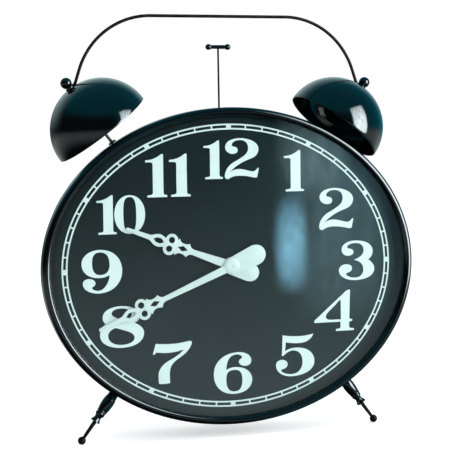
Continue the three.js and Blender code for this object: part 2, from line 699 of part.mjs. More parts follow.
function handForm({ ringAt, tipReach, stemNear, stemFar, hubRadius, tailAt, tailRadius, hole }) {
  const tip = ringAt + tipReach;
  const blade = polygon(mirroredOutline([
    [4.6, ringAt + 28],
    [2.9, tip - 3.4],
    [1.7, tip - 0.8],
    [0.6, tip],
  ]));
  const hexFrame = polygon(mirroredOutline([
    [7.4, ringAt + 4],
    [9.6, ringAt + 14],
    [8.6, ringAt + 24],
    [3.6, ringAt + 33],
  ]));
  const hexHole = polygon(mirroredOutline([
    [2, ringAt + 11.6],
    [4.3, ringAt + 15.4],
    [3.9, ringAt + 23],
    [1, ringAt + 28.4],
  ]));
  const barbs = polygon(mirroredOutline([
    [3.6, ringAt - 44],
    ...scoop(12.6, ringAt - 38.4, 8.6, 190, 118, 3),
    [10.9, ringAt - 29.4],
    ...scoop(14.6, ringAt - 20.6, 7.2, 232, 150, 4),
    [13.9, ringAt - 11],
    [9, ringAt - 8],
    [5, ringAt],
  ]));
  const diamondHole = polygon(mirroredOutline([
    [0.8, ringAt - 29],
    [4.2, ringAt - 21.4],
    [0.8, ringAt - 12.4],
  ]));
  const stem = polygon(mirroredOutline([
    [stemNear, 0],
    [stemFar, ringAt - 36],
    [stemFar - 0.4, ringAt - 30],
  ]));
  const tail = polygon(mirroredOutline([
    [tailRadius - 0.4, tailAt - 3],
    [stemNear + 4.4, -10],
    [stemNear, 4],
  ]));
  const body = joined(
    flat(blade),
    flat(hexFrame),
    flat(roundAt(RING_SPREAD, ringAt, RING_OUTER, 20)),
    flat(roundAt(-RING_SPREAD, ringAt, RING_OUTER, 20)),
    flat(barbs),
    flat(stem),
    flat(roundAt(0, 0, hubRadius, 24)),
    flat(tail),
    flat(roundAt(0, tailAt, tailRadius, 24)),
  );
  return cut(
    body,
    cutter(hexHole),
    cutter(diamondHole),
    cutter(roundAt(RING_SPREAD, ringAt, RING_HOLE, 12)),
    cutter(roundAt(-RING_SPREAD, ringAt, RING_HOLE, 12)),
    cutter(roundAt(0, 0, hole, 20)),
  );
}
const hourHand = handForm({
  ringAt: 105,
  tipReach: 74.5,
  stemNear: 6.6,
  stemFar: 4.4,
  hubRadius: 13.4,
  tailAt: -32,
  tailRadius: 14.6,
  hole: HOUR_TUBE_RADIUS + RUNNING_GAP,
});
const minuteHand = handForm({
  ringAt: 157,
  tipReach: 74.5,
  stemNear: 6,
  stemFar: 3.8,
  hubRadius: 13.4,
  tailAt: -42,
  tailRadius: 15.6,
  hole: MINUTE_ARBOR_RADIUS + RUNNING_GAP,
});
const minuteAngle = radians(TIME_MINUTES * 6);
const hourAngle = radians((TIME_HOURS + TIME_MINUTES / 60) * 30);
const hands = [
  { name: "hour_hand", form: hourHand, y: HOUR_HAND_Y, angle: hourAngle },
  { name: "minute_hand", form: minuteHand, y: MINUTE_HAND_Y, angle: minuteAngle },
];
for (const { name, form, y, angle } of hands) {
  const mesh = add(works, name, form, "hand_white");
  mesh.position.z = -y;
  mesh.rotation.z = -angle;
}

const ARBOR_TIP_RADIUS = 1.1;
const NUT_POCKET = 1;
const NUT_HEIGHT = 2;
const nutBack = HAND_THICKNESS + FIT_GAP - MINUTE_HAND_Y;
const handNut = turned([
  [MINUTE_ARBOR_RADIUS + RUNNING_GAP, nutBack],
  [12.4, nutBack],
  [12, nutBack + 0.9],
  [8, nutBack + 1.6],
  [ARBOR_TIP_RADIUS + RUNNING_GAP, nutBack + NUT_HEIGHT],
  [ARBOR_TIP_RADIUS + RUNNING_GAP, nutBack + NUT_POCKET],
  [MINUTE_ARBOR_RADIUS + RUNNING_GAP, nutBack + NUT_POCKET],
  [MINUTE_ARBOR_RADIUS + RUNNING_GAP, nutBack],
]);
add(works, "hand_nut", handNut, "hand_white");

// ---------------------------------------------------------------- movement
const HOUSING_WIDTH = 78;
const HOUSING_WALL = 2;
const HOUSING_FRONT = 38.2;
const HOUSING_REAR = 10;
const GEAR_DISTANCE = 18;
const boxBetween = (width, height, low, high, x = 0, y = 0) =>
  block(width, height, high - low, x, y, (high + low) / 2);
const housingRoom = HOUSING_WIDTH - 2 * HOUSING_WALL;
const housing = cut(
  boxBetween(HOUSING_WIDTH, HOUSING_WIDTH, HOUSING_REAR, HOUSING_FRONT),
  boxBetween(housingRoom, housingRoom, HOUSING_REAR - 5, HOUSING_FRONT - HOUSING_WALL),
  bushHole,
);
add(works, "movement_housing", housing, "plastic_black");
const washer = tube(BUSH_RADIUS + FIT_GAP, 16, HOUSING_FRONT + FIT_GAP, -dialBackY - FIT_GAP);
add(works, "rubber_washer", washer, "rubber");
const BUSH_FLANGE_RADIUS = 9;
const BUSH_FRONT = 45.6;
const bushBore = HOUR_TUBE_RADIUS + RUNNING_GAP;
const flangeFront = HOUSING_FRONT - HOUSING_WALL - FIT_GAP;
const flangeBack = flangeFront - 1.6;
const bush = turned([
  [bushBore, flangeBack],
  [BUSH_FLANGE_RADIUS, flangeBack],
  [BUSH_FLANGE_RADIUS, flangeFront],
  [BUSH_RADIUS, flangeFront],
  [BUSH_RADIUS, BUSH_FRONT],
  [bushBore, BUSH_FRONT],
  [bushBore, flangeBack],
]);
add(works, "centre_bush", bush, "brass");
const nutLow = -DIAL_FACE_Y + FIT_GAP;
add(works, "fixing_nut", cut(hexagon(16, nutLow, nutLow + 2.2), bushHole), "brass");

// Gear teeth: involute, 25 degrees, short tips, thinned so that they run free.
const PRESSURE_ANGLE = THREE.MathUtils.degToRad(25);
const involute = (angle) => Math.tan(angle) - angle;
function gearShape(teeth, module, bore, flankSteps) {
  const pitch = (teeth * module) / 2;
  const base = pitch * Math.cos(PRESSURE_ANGLE);
  const tipRadius = pitch + 0.78 * module;
  const rootRadius = pitch - 1.08 * module;
  const halfTooth = (Math.PI / 2 - 0.14) / teeth;
  const halfAt = (radius) => {
    const angle = Math.acos(Math.min(base / radius, 1));
    return halfTooth + involute(PRESSURE_ANGLE) - involute(angle);
  };
  const points = [];
  for (let tooth = 0; tooth < teeth; tooth += 1) {
    const middle = (tooth / teeth) * 2 * Math.PI;
    const flank = [];
    for (let i = 0; i <= flankSteps; i += 1) {
      const radius = rootRadius + (i / flankSteps) * (tipRadius - rootRadius);
      flank.push([radius, halfAt(Math.max(radius, base))]);
    }
    for (const [radius, half] of flank) {
      points.push([radius * Math.cos(middle - half), radius * Math.sin(middle - half)]);
    }
    for (const [radius, half] of flank.slice().reverse()) {
      points.push([radius * Math.cos(middle + half), radius * Math.sin(middle + half)]);
    }
  }
  const shape = polygon(points);
  if (bore > 0) {
    shape.holes.push(new THREE.Path(roundAt(0, 0, bore, 16).getPoints()));
  }
  return shape;
}
const halfToothTurn = (teeth) => Math.PI / teeth;
function gear(teeth, module, low, high, turn = 0, bore = 0, flankSteps = 2) {
  const solid = prism(gearShape(teeth, module, bore, flankSteps), low, high);
  solid.rotateZ(turn);
  return solid;
}
const MOTION_MODULE = 0.75;
const HOUR_MODULE = 0.72;
const DRIVE_MODULE = 0.6;
const HOUR_PLANE = [31.8, 33.8];
const MOTION_PLANE = [28.8, 30.8];
const DRIVE_PLANE = [24.5, 26.5];

const HOUR_TUBE_FRONT = 48;
const hourTube = tube(MINUTE_ARBOR_RADIUS + RUNNING_GAP, HOUR_TUBE_RADIUS, HOUR_PLANE[0], HOUR_TUBE_FRONT);
const hourWheel = gear(40, HOUR_MODULE, ...HOUR_PLANE, halfToothTurn(40), MINUTE_ARBOR_RADIUS + 0.4, 1);
add(works, "hour_wheel", joined(hourWheel, hourTube), "gear_white");
const ARBOR_BACK = 12;
const arborEnd = nutBack + NUT_POCKET - FIT_GAP;
const arborShaft = turned([
  [0, ARBOR_BACK],
  [MINUTE_ARBOR_RADIUS, ARBOR_BACK],
  [MINUTE_ARBOR_RADIUS, arborEnd],
  [ARBOR_TIP_RADIUS, arborEnd],
  [ARBOR_TIP_RADIUS, nutBack + NUT_HEIGHT + FIT_GAP],
  [0, nutBack + NUT_HEIGHT + FIT_GAP],
]);
const cannonPinion = gear(12, MOTION_MODULE, ...MOTION_PLANE);
const centreWheel = gear(48, DRIVE_MODULE, ...DRIVE_PLANE, halfToothTurn(48), 0, 1);
add(works, "minute_arbor", joined(arborShaft, cannonPinion, centreWheel), "gear_white");

const MOTION_SHAFT_RADIUS = 1.5;
const motionGroup = new THREE.Group();
motionGroup.position.x = GEAR_DISTANCE;
works.add(motionGroup);
const motionWheel = gear(36, MOTION_MODULE, ...MOTION_PLANE, halfToothTurn(36), 0, 1);
const motionPinion = gear(10, HOUR_MODULE, MOTION_PLANE[1], HOUR_PLANE[1]);
const motionShaft = disc(MOTION_SHAFT_RADIUS, 2.5, 35.4, 16);
add(motionGroup, "motion_wheel", joined(motionWheel, motionPinion, motionShaft), "gear_white");

// The drive pinion turns its tooth towards a gap of the centre wheel, on the line between them.
const DRIVE_ANGLE = radians(135);
const DRIVE_SHAFT_RADIUS = 1.2;
const driveGroup = new THREE.Group();
driveGroup.position.set(GEAR_DISTANCE * Math.cos(DRIVE_ANGLE), GEAR_DISTANCE * Math.sin(DRIVE_ANGLE), 0);
works.add(driveGroup);
const drivePinion = gear(12, DRIVE_MODULE, ...DRIVE_PLANE, DRIVE_ANGLE + Math.PI);
const driveShaft = disc(DRIVE_SHAFT_RADIUS, 20, 27.4, 12);
add(driveGroup, "drive_pinion", joined(drivePinion, driveShaft), "gear_white");
const motor = cut(disc(10.5, 12, 23.6), disc(DRIVE_SHAFT_RADIUS + RUNNING_GAP, 19, 30, 12));
add(driveGroup, "gear_motor", motor, "steel");

add(works, "circuit_board", boxBetween(30, 14, 34.5, 35.9, 19, 28), "board_green");
const quartz = add(works, "quartz_crystal", disc(1.6, 0, 9, 10), "steel");
quartz.position.set(10, 28, 32.6);
quartz.rotation.y = Math.PI / 2;

const COVER_LOW = 8;
const BATTERY_Y = -28;
const BATTERY_Z = 22;
const DOOR_WIDTH = 59.4;
const DOOR_HEIGHT = 17;
const RAIL_X = DOOR_WIDTH / 2 + 1.6;
const rails = [-1, 1].flatMap((side) => [
  boxBetween(2, DOOR_HEIGHT, 5, COVER_LOW + 0.2, side * RAIL_X, BATTERY_Y),
  boxBetween(3.2, DOOR_HEIGHT, 4.9, 5.9, side * (RAIL_X - 0.6), BATTERY_Y),
]);
const coverBack = boxBetween(HOUSING_WIDTH, HOUSING_WIDTH, COVER_LOW, HOUSING_REAR - FIT_GAP);
const cellHatch = boxBetween(54, 15, 0, 20, 0, BATTERY_Y);
const shaftHole = disc(MOTION_SHAFT_RADIUS + RUNNING_GAP, 0, 20, 16).translate(GEAR_DISTANCE, 0, 0);
add(works, "movement_cover", cut(joined(coverBack, ...rails), cellHatch, shaftHole), "plastic_black");
add(works, "battery_door", boxBetween(DOOR_WIDTH, DOOR_HEIGHT, 6.2, 7.7, 0, BATTERY_Y), "plastic_black");

const CELL_RADIUS = 7.1;
const CELL_LENGTH = 50;
const cellForm = turned([
  [0, 0],
  [CELL_RADIUS, 0.4],
  [CELL_RADIUS, CELL_LENGTH - 1.4],
  [2.7, CELL_LENGTH - 1.2],
  [2.7, CELL_LENGTH],
  [0, CELL_LENGTH],
], 16);
const cell = add(works, "battery_cell", cellForm, "battery_wrap");
cell.position.set(-CELL_LENGTH / 2, BATTERY_Y, BATTERY_Z);
cell.rotation.y = Math.PI / 2;
for (const { word, sign } of sides) {
  const contact = boxBetween(0.8, 10, BATTERY_Z - 5, BATTERY_Z + 5, sign * (CELL_LENGTH / 2 + 1), BATTERY_Y);
  add(works, `battery_contact_${word}`, contact, "steel");
}

const KNOB_RADIUS = 10;
const KNOB_FLUTES = 12;
const knobOutline = [];
for (let i = 0; i < 2 * KNOB_FLUTES; i += 1) {
  const radius = i % 2 === 0 ? KNOB_RADIUS : KNOB_RADIUS - 1;
  const angle = (i / KNOB_FLUTES) * Math.PI;
  knobOutline.push([radius * Math.cos(angle), radius * Math.sin(angle)]);
}
const knobBore = disc(MOTION_SHAFT_RADIUS + RUNNING_GAP, 2.2, 10, 16);
add(motionGroup, "set_knob", cut(prism(polygon(knobOutline), -0.5, 7.4), knobBore), "plastic_black");

export default clock;
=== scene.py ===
"""The oversize twin-bell alarm clock, dressed around its CAD frame."""

import math

import bmesh
import bpy
from mathutils import Matrix, Vector


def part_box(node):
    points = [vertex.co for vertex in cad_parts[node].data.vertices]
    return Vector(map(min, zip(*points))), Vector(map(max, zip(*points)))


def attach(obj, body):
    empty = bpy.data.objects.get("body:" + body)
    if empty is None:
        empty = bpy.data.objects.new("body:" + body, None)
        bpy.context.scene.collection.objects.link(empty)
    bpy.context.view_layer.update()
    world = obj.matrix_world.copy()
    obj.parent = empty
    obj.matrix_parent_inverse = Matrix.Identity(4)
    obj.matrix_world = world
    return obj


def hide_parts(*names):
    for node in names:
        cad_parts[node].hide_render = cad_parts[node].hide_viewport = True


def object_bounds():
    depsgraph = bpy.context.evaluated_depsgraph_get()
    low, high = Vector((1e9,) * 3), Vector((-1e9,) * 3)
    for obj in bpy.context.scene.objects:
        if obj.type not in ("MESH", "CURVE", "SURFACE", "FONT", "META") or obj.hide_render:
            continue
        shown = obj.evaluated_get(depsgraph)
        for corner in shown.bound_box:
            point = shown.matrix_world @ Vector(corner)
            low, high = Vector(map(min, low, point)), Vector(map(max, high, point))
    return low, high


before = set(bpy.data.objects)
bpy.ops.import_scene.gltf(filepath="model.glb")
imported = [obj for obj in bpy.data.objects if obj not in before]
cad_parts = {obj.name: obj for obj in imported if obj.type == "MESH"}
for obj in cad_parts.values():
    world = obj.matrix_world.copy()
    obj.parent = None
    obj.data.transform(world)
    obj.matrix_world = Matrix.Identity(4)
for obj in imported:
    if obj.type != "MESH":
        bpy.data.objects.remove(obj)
cad_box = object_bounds()
MM = 0.001

# ------------------------------------------------------------------ case shell
# A deep oval bowl pressed from 1.2 mm sheet steel, its back edge rounded over and its back opened for
# the works. It is stoved in thick black gloss enamel, which settles with a faint orange peel.
SHELL_WALL = 1.2 * MM
OVAL_STEPS = 192
ENAMEL_BLACK = (0.0008, 0.0014, 0.0016, 1)
ENAMEL_DUST = (0.03, 0.036, 0.036, 1)


def middle_of(node):
    low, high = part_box(node)
    return (low + high) / 2


bezel_low, bezel_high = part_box("bezel_ring")
case_middle = middle_of("bezel_ring")
CASE_HALF_WIDTH = (bezel_high.x - bezel_low.x) / 2
CASE_HALF_HEIGHT = (bezel_high.z - bezel_low.z) / 2


class Shade:
    """A socket of a shader tree. Sums written on it add their own Math nodes."""

    def __init__(self, tree, socket=None):
        self.tree = tree
        self.socket = socket

    def node(self, kind, settings=(), links=(), out=0):
        """Any node: its settings first, then the values or links of its sockets."""
        made = self.tree.nodes.new(kind)
        for name, value in dict(settings).items():
            setattr(made, name, value)
        for name, value in dict(links).items():
            if isinstance(value, Shade):
                self.tree.links.new(value.socket, made.inputs[name])
            else:
                made.inputs[name].default_value = value
        return Shade(self.tree, made.outputs[out])

    def sum_of(self, operation, first, second):
        return self.node("ShaderNodeMath", {"operation": operation}, {0: first, 1: second})

    def __add__(self, other):
        return self.sum_of("ADD", self, other)

    def __sub__(self, other):
        return self.sum_of("SUBTRACT", self, other)

    def __rsub__(self, other):
        return self.sum_of("SUBTRACT", other, self)

    def __mul__(self, other):
        return self.sum_of("MULTIPLY", self, other)

    def __pow__(self, other):
        return self.sum_of("POWER", self, other)

    __radd__ = __add__
    __rmul__ = __mul__

    def between(self, low, high):
        """0 below low, 1 above high, and a soft step from one to the other."""
        settings = {"interpolation_type": "SMOOTHSTEP"}
        return self.node("ShaderNodeMapRange", settings, {"Value": self, "From Min": low, "From Max": high})

    def mix(self, first, second):
        """From the first colour to the second, as this value goes from 0 to 1."""
        return self.node("ShaderNodeMix", {"data_type": "RGBA"}, {0: self, 6: first, 7: second}, out=2)

    def place(self):
        """Where a point is on the piece, in metres."""
        return self.node("ShaderNodeTexCoord", out="Object")

    def part(self, axis):
        """One of the three parts of a vector."""
        return self.node("ShaderNodeSeparateXYZ", links={0: self}, out=axis)

    def stretched(self, x, y, z):
        settings = {"operation": "MULTIPLY"}
        return self.node("ShaderNodeVectorMath", settings, {0: self, 1: (x, y, z)})

    def noise(self, per_metre, detail=3, roughness=0.5):
        """Soft noise on this vector, with that many lumps in a metre."""
        links = {"Vector": self, "Scale": per_metre, "Detail": detail, "Roughness": roughness}
        return self.node("ShaderNodeTexNoise", links=links)

    def bump(self, depth):
        """A normal from this height, where depth is the relief in metres."""
        return self.node("ShaderNodeBump", links={"Height": self, "Distance": depth, "Strength": 1})

    def principled(self, **sockets):
        links = {name.replace("_", " "): value for name, value in sockets.items()}
        return self.node("ShaderNodeBsdfPrincipled", links=links)


def material(name, surface):
    """A node material whose surface function gets an empty Shade and returns its shader."""
    made = bpy.data.materials.new(name)
    made.use_nodes = True
    made.node_tree.nodes.clear()
    output = made.node_tree.nodes.new("ShaderNodeOutputMaterial")
    made.node_tree.links.new(surface(Shade(made.node_tree)).socket, output.inputs["Surface"])
    return made


def gloss_enamel(shade):
    place = shade.place()
    upward = shade.node("ShaderNodeNewGeometry", out="Normal").part("Z").between(0.35, 1)
    dust = upward * place.noise(240, 6, 0.7).between(0.42, 0.75)
    smears = place.noise(14, 4, 0.6).between(0.5, 0.8)
    peel = place.noise(150, 2)
    return shade.principled(
        Base_Color=(dust * 0.2).mix(ENAMEL_BLACK, ENAMEL_DUST),
        Roughness=0.07 + smears * 0.05 + dust * 0.12,
        Specular_IOR_Level=0.55,
        Normal=peel.bump(0.00006),
    )


enamel = material("gloss_enamel", gloss_enamel)


def pen(text, steps=8):
    """The points of an outline in millimetres: M starts it, L draws straight, C draws a Bezier curve."""
    points = []
    command = "M"
    held = []
    for word in text.split():
        if word.isalpha():
            command = word
            continue
        held.append(float(word) * MM)
        if command != "C" and len(held) == 2:
            points.append(Vector(held))
            held = []
        elif len(held) == 6:
            start = points[-1]
            first, second, end = (Vector(held[i : i + 2]) for i in (0, 2, 4))
            for step in range(1, steps + 1):
                t = step / steps
                near = start * (1 - t) ** 3 + first * 3 * t * (1 - t) ** 2
                points.append(near + second * 3 * t * t * (1 - t) + end * t**3)
            held = []
    return points


def walled(line, wall):
    """A closed section: the line, and back along the same line moved sideways by the wall."""
    moved = []
    for i, point in enumerate(line):
        before = line[max(i - 1, 0)]
        after = line[min(i + 1, len(line) - 1)]
        along = (after - before).normalized()
        moved.append(point + Vector((-along.y, along.x)) * wall)
    return line + moved[::-1]


def lofted(name, sections, around=True, closed=True):
    """A skin over sections of points. Around joins the last one to the first; if not, both are capped."""
    count = len(sections[0])
    points = [point for section in sections for point in section]
    faces = []
    for i in range(len(sections) if around else len(sections) - 1):
        for j in range(count if closed else count - 1):
            here, there = i * count, (i + 1) % len(sections) * count
            after = (j + 1) % count
            faces.append((here + j, here + after, there + after, there + j))
    if not around:
        faces.append(tuple(range(count)))
        faces.append(tuple(range(len(points) - count, len(points))))
    mesh = bpy.data.meshes.new(name)
    mesh.from_pydata([tuple(point) for point in points], [], faces)
    return mesh


def cleaned(mesh):
    """The mesh with its doubled points joined and every face turned outwards."""
    work = bmesh.new()
    work.from_mesh(mesh)
    bmesh.ops.remove_doubles(work, verts=work.verts, dist=2e-6)
    bmesh.ops.dissolve_degenerate(work, edges=work.edges, dist=1e-7)
    bmesh.ops.recalc_face_normals(work, faces=work.faces)
    work.to_mesh(mesh)
    work.free()
    return mesh


def smoothed(obj, crease=32):
    """Smooth shading that stays sharp where faces meet at more than the crease angle."""
    for polygon in obj.data.polygons:
        polygon.use_smooth = True
    obj.data.set_sharp_from_angle(angle=math.radians(crease))


def new_object(name, data):
    obj = bpy.data.objects.new(name, data)
    bpy.context.scene.collection.objects.link(obj)
    return obj


def evaluated_mesh(obj):
    """A new mesh of an object, with its modifiers or its curve settings worked out."""
    bpy.context.view_layer.update()
    return bpy.data.meshes.new_from_object(obj.evaluated_get(bpy.context.evaluated_depsgraph_get()))


def piece(name, mesh, finish, slot, body, *nodes):
    """Shows a mesh as one piece: its material, the body it rides on and the CAD nodes it stands for."""
    obj = new_object(name, cleaned(mesh))
    obj.data.materials.append(finish)
    smoothed(obj)
    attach(obj, body)
    if nodes:
        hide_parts(*nodes)
    return obj


def on_oval(inset, y, turn):
    x = (CASE_HALF_WIDTH - inset) * math.cos(turn)
    z = (CASE_HALF_HEIGHT - inset) * math.sin(turn)
    return Vector((x, y, case_middle.z + z))


def oval_sweep(name, section, steps=OVAL_STEPS):
    """A closed section of (inset, y) points carried round the case's oval."""
    turns = [2 * math.pi * i / steps for i in range(steps)]
    return lofted(name, [[on_oval(inset, y, turn) for inset, y in section] for turn in turns])


shell_line = pen(
    "M 3.5 -57.4 L 3.5 -40 C 3.5 -28 15 20 18.5 36 C 20.5 45 26 54 42 56.9 L 50 57 L 140 57",
    10,
)
bowl = oval_sweep("shell_bowl", walled(shell_line, SHELL_WALL))
shell = piece("shell_bowl", bowl, enamel, "gloss_black", "case", "case_shell")


def cut_away(obj, low, high):
    """Cuts a rectangular hole through a piece."""
    corners = [(x, y, z) for x in (low.x, high.x) for y in (low.y, high.y) for z in (low.z, high.z)]
    mesh = bpy.data.meshes.new("cutter")
    sides = [(0, 1, 3, 2), (4, 6, 7, 5), (0, 4, 5, 1), (2, 3, 7, 6), (0, 2, 6, 4), (1, 5, 7, 3)]
    mesh.from_pydata(corners, [], sides)
    cutter = new_object("cutter", mesh)
    cut = obj.modifiers.new("opening", "BOOLEAN")
    cut.operation = "DIFFERENCE"
    cut.object = cutter
    result = evaluated_mesh(obj)
    obj.modifiers.clear()
    obj.data = result
    bpy.data.objects.remove(cutter)
    smoothed(obj)


# The hammer's rod comes out through a slot in the top.
SLOT_HALF_LENGTH = 5.2 * MM
SLOT_HALF_WIDTH = 2.2 * MM
CUTTER_DEPTH = 40 * MM
CUTTER_RISE = 10 * MM
slot_y = middle_of("hammer_rod").y
case_top = case_middle.z + CASE_HALF_HEIGHT
cut_away(
    shell,
    Vector((-SLOT_HALF_LENGTH, slot_y - SLOT_HALF_WIDTH, case_top - CUTTER_DEPTH)),
    Vector((SLOT_HALF_LENGTH, slot_y + SLOT_HALF_WIDTH, case_top + CUTTER_RISE)),
)

# ------------------------------------------------------------------ bezel
# A rolled steel rim pushed over the front of the bowl, with a rounded nose and a bright inner edge
# that grips the glass. Same black enamel as the bowl.
bezel_line = pen(
    "M 12 -57.7 L 12 -59.9 C 11.8 -61.2 9.6 -63.5 7 -63.5 C 3 -63.5 0 -60.8 0 -56.5"
    " L 0 -44.4 C 0 -44.1 0.2 -44 0.5 -44 L 3.2 -44 L 3.2 -57.7",
    10,
)
piece("bezel_rim", oval_sweep("bezel_rim", bezel_line), enamel, "gloss_black", "case", "bezel_ring")

# ------------------------------------------------------------------ glass
# One flat oval pane of 2.7 mm float glass, faintly green, wiped but not quite clean.
GLASS_TINT = (0.93, 0.975, 0.965, 1)
GLASS_SHINE = (0.86, 0.97, 1, 1)
glass_low, glass_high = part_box("glass_lens")


def float_glass(shade):
    facing = shade.node("ShaderNodeLayerWeight", links={"Blend": 0.5}, out="Facing")
    smears = shade.place().noise(9, 4, 0.6).between(0.45, 0.75)
    shine = shade.node(
        "ShaderNodeBsdfAnisotropic",
        links={"Color": GLASS_SHINE, "Roughness": 0.02 + smears * 0.05},
    )
    clear = shade.node("ShaderNodeBsdfTransparent", links={"Color": GLASS_TINT})
    return shade.node("ShaderNodeMixShader", links={0: 0.045 + (facing**5) * 0.9, 1: clear, 2: shine})


def oval_plate(name, inset, front, back, steps=OVAL_STEPS):
    """A flat oval plate with a small arris on both edges."""
    arris = 0.3 * MM
    rows = [(inset + arris, front), (inset, front + arris), (inset, back - arris), (inset + arris, back)]
    turns = [2 * math.pi * i / steps for i in range(steps)]
    return lofted(name, [[on_oval(edge, y, turn) for turn in turns] for edge, y in rows], around=False)


glass = material("float_glass", float_glass)
glass_inset = CASE_HALF_WIDTH - (glass_high.x - glass_low.x) / 2
pane = oval_plate("glass_pane", glass_inset, glass_low.y, glass_high.y)
piece("glass_pane", pane, glass, "glass", "case", "glass_lens")

# ------------------------------------------------------------------ spacer and keeper rings
# Two rolled rings clamp the dial: an enamelled one in front, which keeps the glass off the hands, and a
# plain zinc-plated one behind.
SPACER_INNER = 11 * MM
KEEPER_INNER = 16 * MM
ZINC = (0.5, 0.51, 0.52, 1)
ZINC_DULL = (0.28, 0.29, 0.3, 1)


def zinc_plate(shade):
    place = shade.place()
    spangle = shade.node("ShaderNodeTexVoronoi", links={"Vector": place, "Scale": 420}, out="Color")
    tone = spangle.part("X")
    rubbed = place.noise(90, 5, 0.65).between(0.4, 0.7)
    return shade.principled(
        Base_Color=(tone * 0.4 + rubbed * 0.5).mix(ZINC, ZINC_DULL),
        Metallic=1.0,
        Roughness=0.26 + tone * 0.1 + rubbed * 0.14,
        Normal=place.noise(900, 2).bump(0.00001),
    )


def ring_section(inner, outer, front, back):
    """A flat ring's section, with its corners eased."""
    ease = 0.3 * MM
    return [
        Vector((outer, front + ease)),
        Vector((outer, back - ease)),
        Vector((outer + ease, back)),
        Vector((inner - ease, back)),
        Vector((inner, back - ease)),
        Vector((inner, front + ease)),
        Vector((inner - ease, front)),
        Vector((outer + ease, front)),
    ]


zinc = material("zinc_plate", zinc_plate)
for name, node, inner, finish, slot in (
    ("glass_spacer", "spacer_ring", SPACER_INNER, enamel, "gloss_black"),
    ("dial_keeper", "dial_keeper_ring", KEEPER_INNER, zinc, "steel"),
):
    low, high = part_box(node)
    section = ring_section(inner, glass_inset, low.y, high.y)
    piece(name, oval_sweep(name, section), finish, slot, "case", node)

# ------------------------------------------------------------------ dial plate
# A sheet of board, sprayed a flat slate black. Outside the minute track a deeper black band is painted
# shade, the shade that the bezel and spacer ring cast on the dial's edge. The spray lies a little cloudy and
# shows faint marks of the wiping cloth.
SLATE = (0.003, 0.0085, 0.009, 1)
SLATE_CHALKY = (0.01, 0.018, 0.019, 1)
# The colour of the painted shade at the dial's edge, under the bezel and spacer ring.
SLATE_PAINTED_SHADE = (0.001, 0.0015, 0.0016, 1)
PAINTED_SHADE_HALF_WIDTH = 277 * MM
PAINTED_SHADE_HALF_HEIGHT = 230 * MM
dial_low, dial_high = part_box("dial_plate")


def slate_paint(shade):
    place = shade.place()
    cloud = place.noise(7, 5, 0.6).between(0.35, 0.8)
    wiped = place.stretched(1, 1, 0.15).noise(120, 4, 0.6).between(0.45, 0.75)
    grain = place.noise(1600, 2)
    across = place.part("X") * (1 / PAINTED_SHADE_HALF_WIDTH)
    along = (place.part("Z") - case_middle.z) * (1 / PAINTED_SHADE_HALF_HEIGHT)
    # Painted shade: outside this oval the slate turns near black, standing in for the bezel and spacer
    # ring's shade.
    bezel_shade_mask = (across * across + along * along).between(0.98, 1.02)
    field = (cloud * 0.5 + wiped * 0.3).mix(SLATE, SLATE_CHALKY)
    return shade.principled(
        Base_Color=bezel_shade_mask.mix(field, SLATE_PAINTED_SHADE),
        Roughness=0.5 + wiped * 0.12,
        Specular_IOR_Level=0.06,
        Normal=grain.bump(0.00003),
    )


slate = material("slate_paint", slate_paint)
board = oval_plate("dial_board", glass_inset, dial_low.y, dial_high.y)
piece("dial_board", board, slate, "dial_slate", "case", "dial_plate")

# ------------------------------------------------------------------ printed dial
# Screen-printed in thick white ink: a railway track with sixty rungs, the twelve hour rungs broad, and
# fat old-style numerals whose strokes end in round drops.
INK = (0.79, 0.84, 0.85, 1)
INK_THIN = (0.66, 0.73, 0.75, 1)
INK_THICKNESS = 0.12 * MM
TRACK_HALF_WIDTH = 263 * MM
TRACK_HALF_HEIGHT = 216.4 * MM
TRACK_EDGE = 4.6 * MM
TRACK_GAP = 2.1 * MM
MINUTE_RUNG = 2.4 * MM
HOUR_RUNG = 8 * MM
NUMERAL_HALF_WIDTH = 203.8 * MM
NUMERAL_HALF_HEIGHT = 167.6 * MM
MINUTE_TURN = math.radians(6)
HOUR_TURN = math.radians(30)
RAIL_STEPS = 360
GAP_STEPS = 6

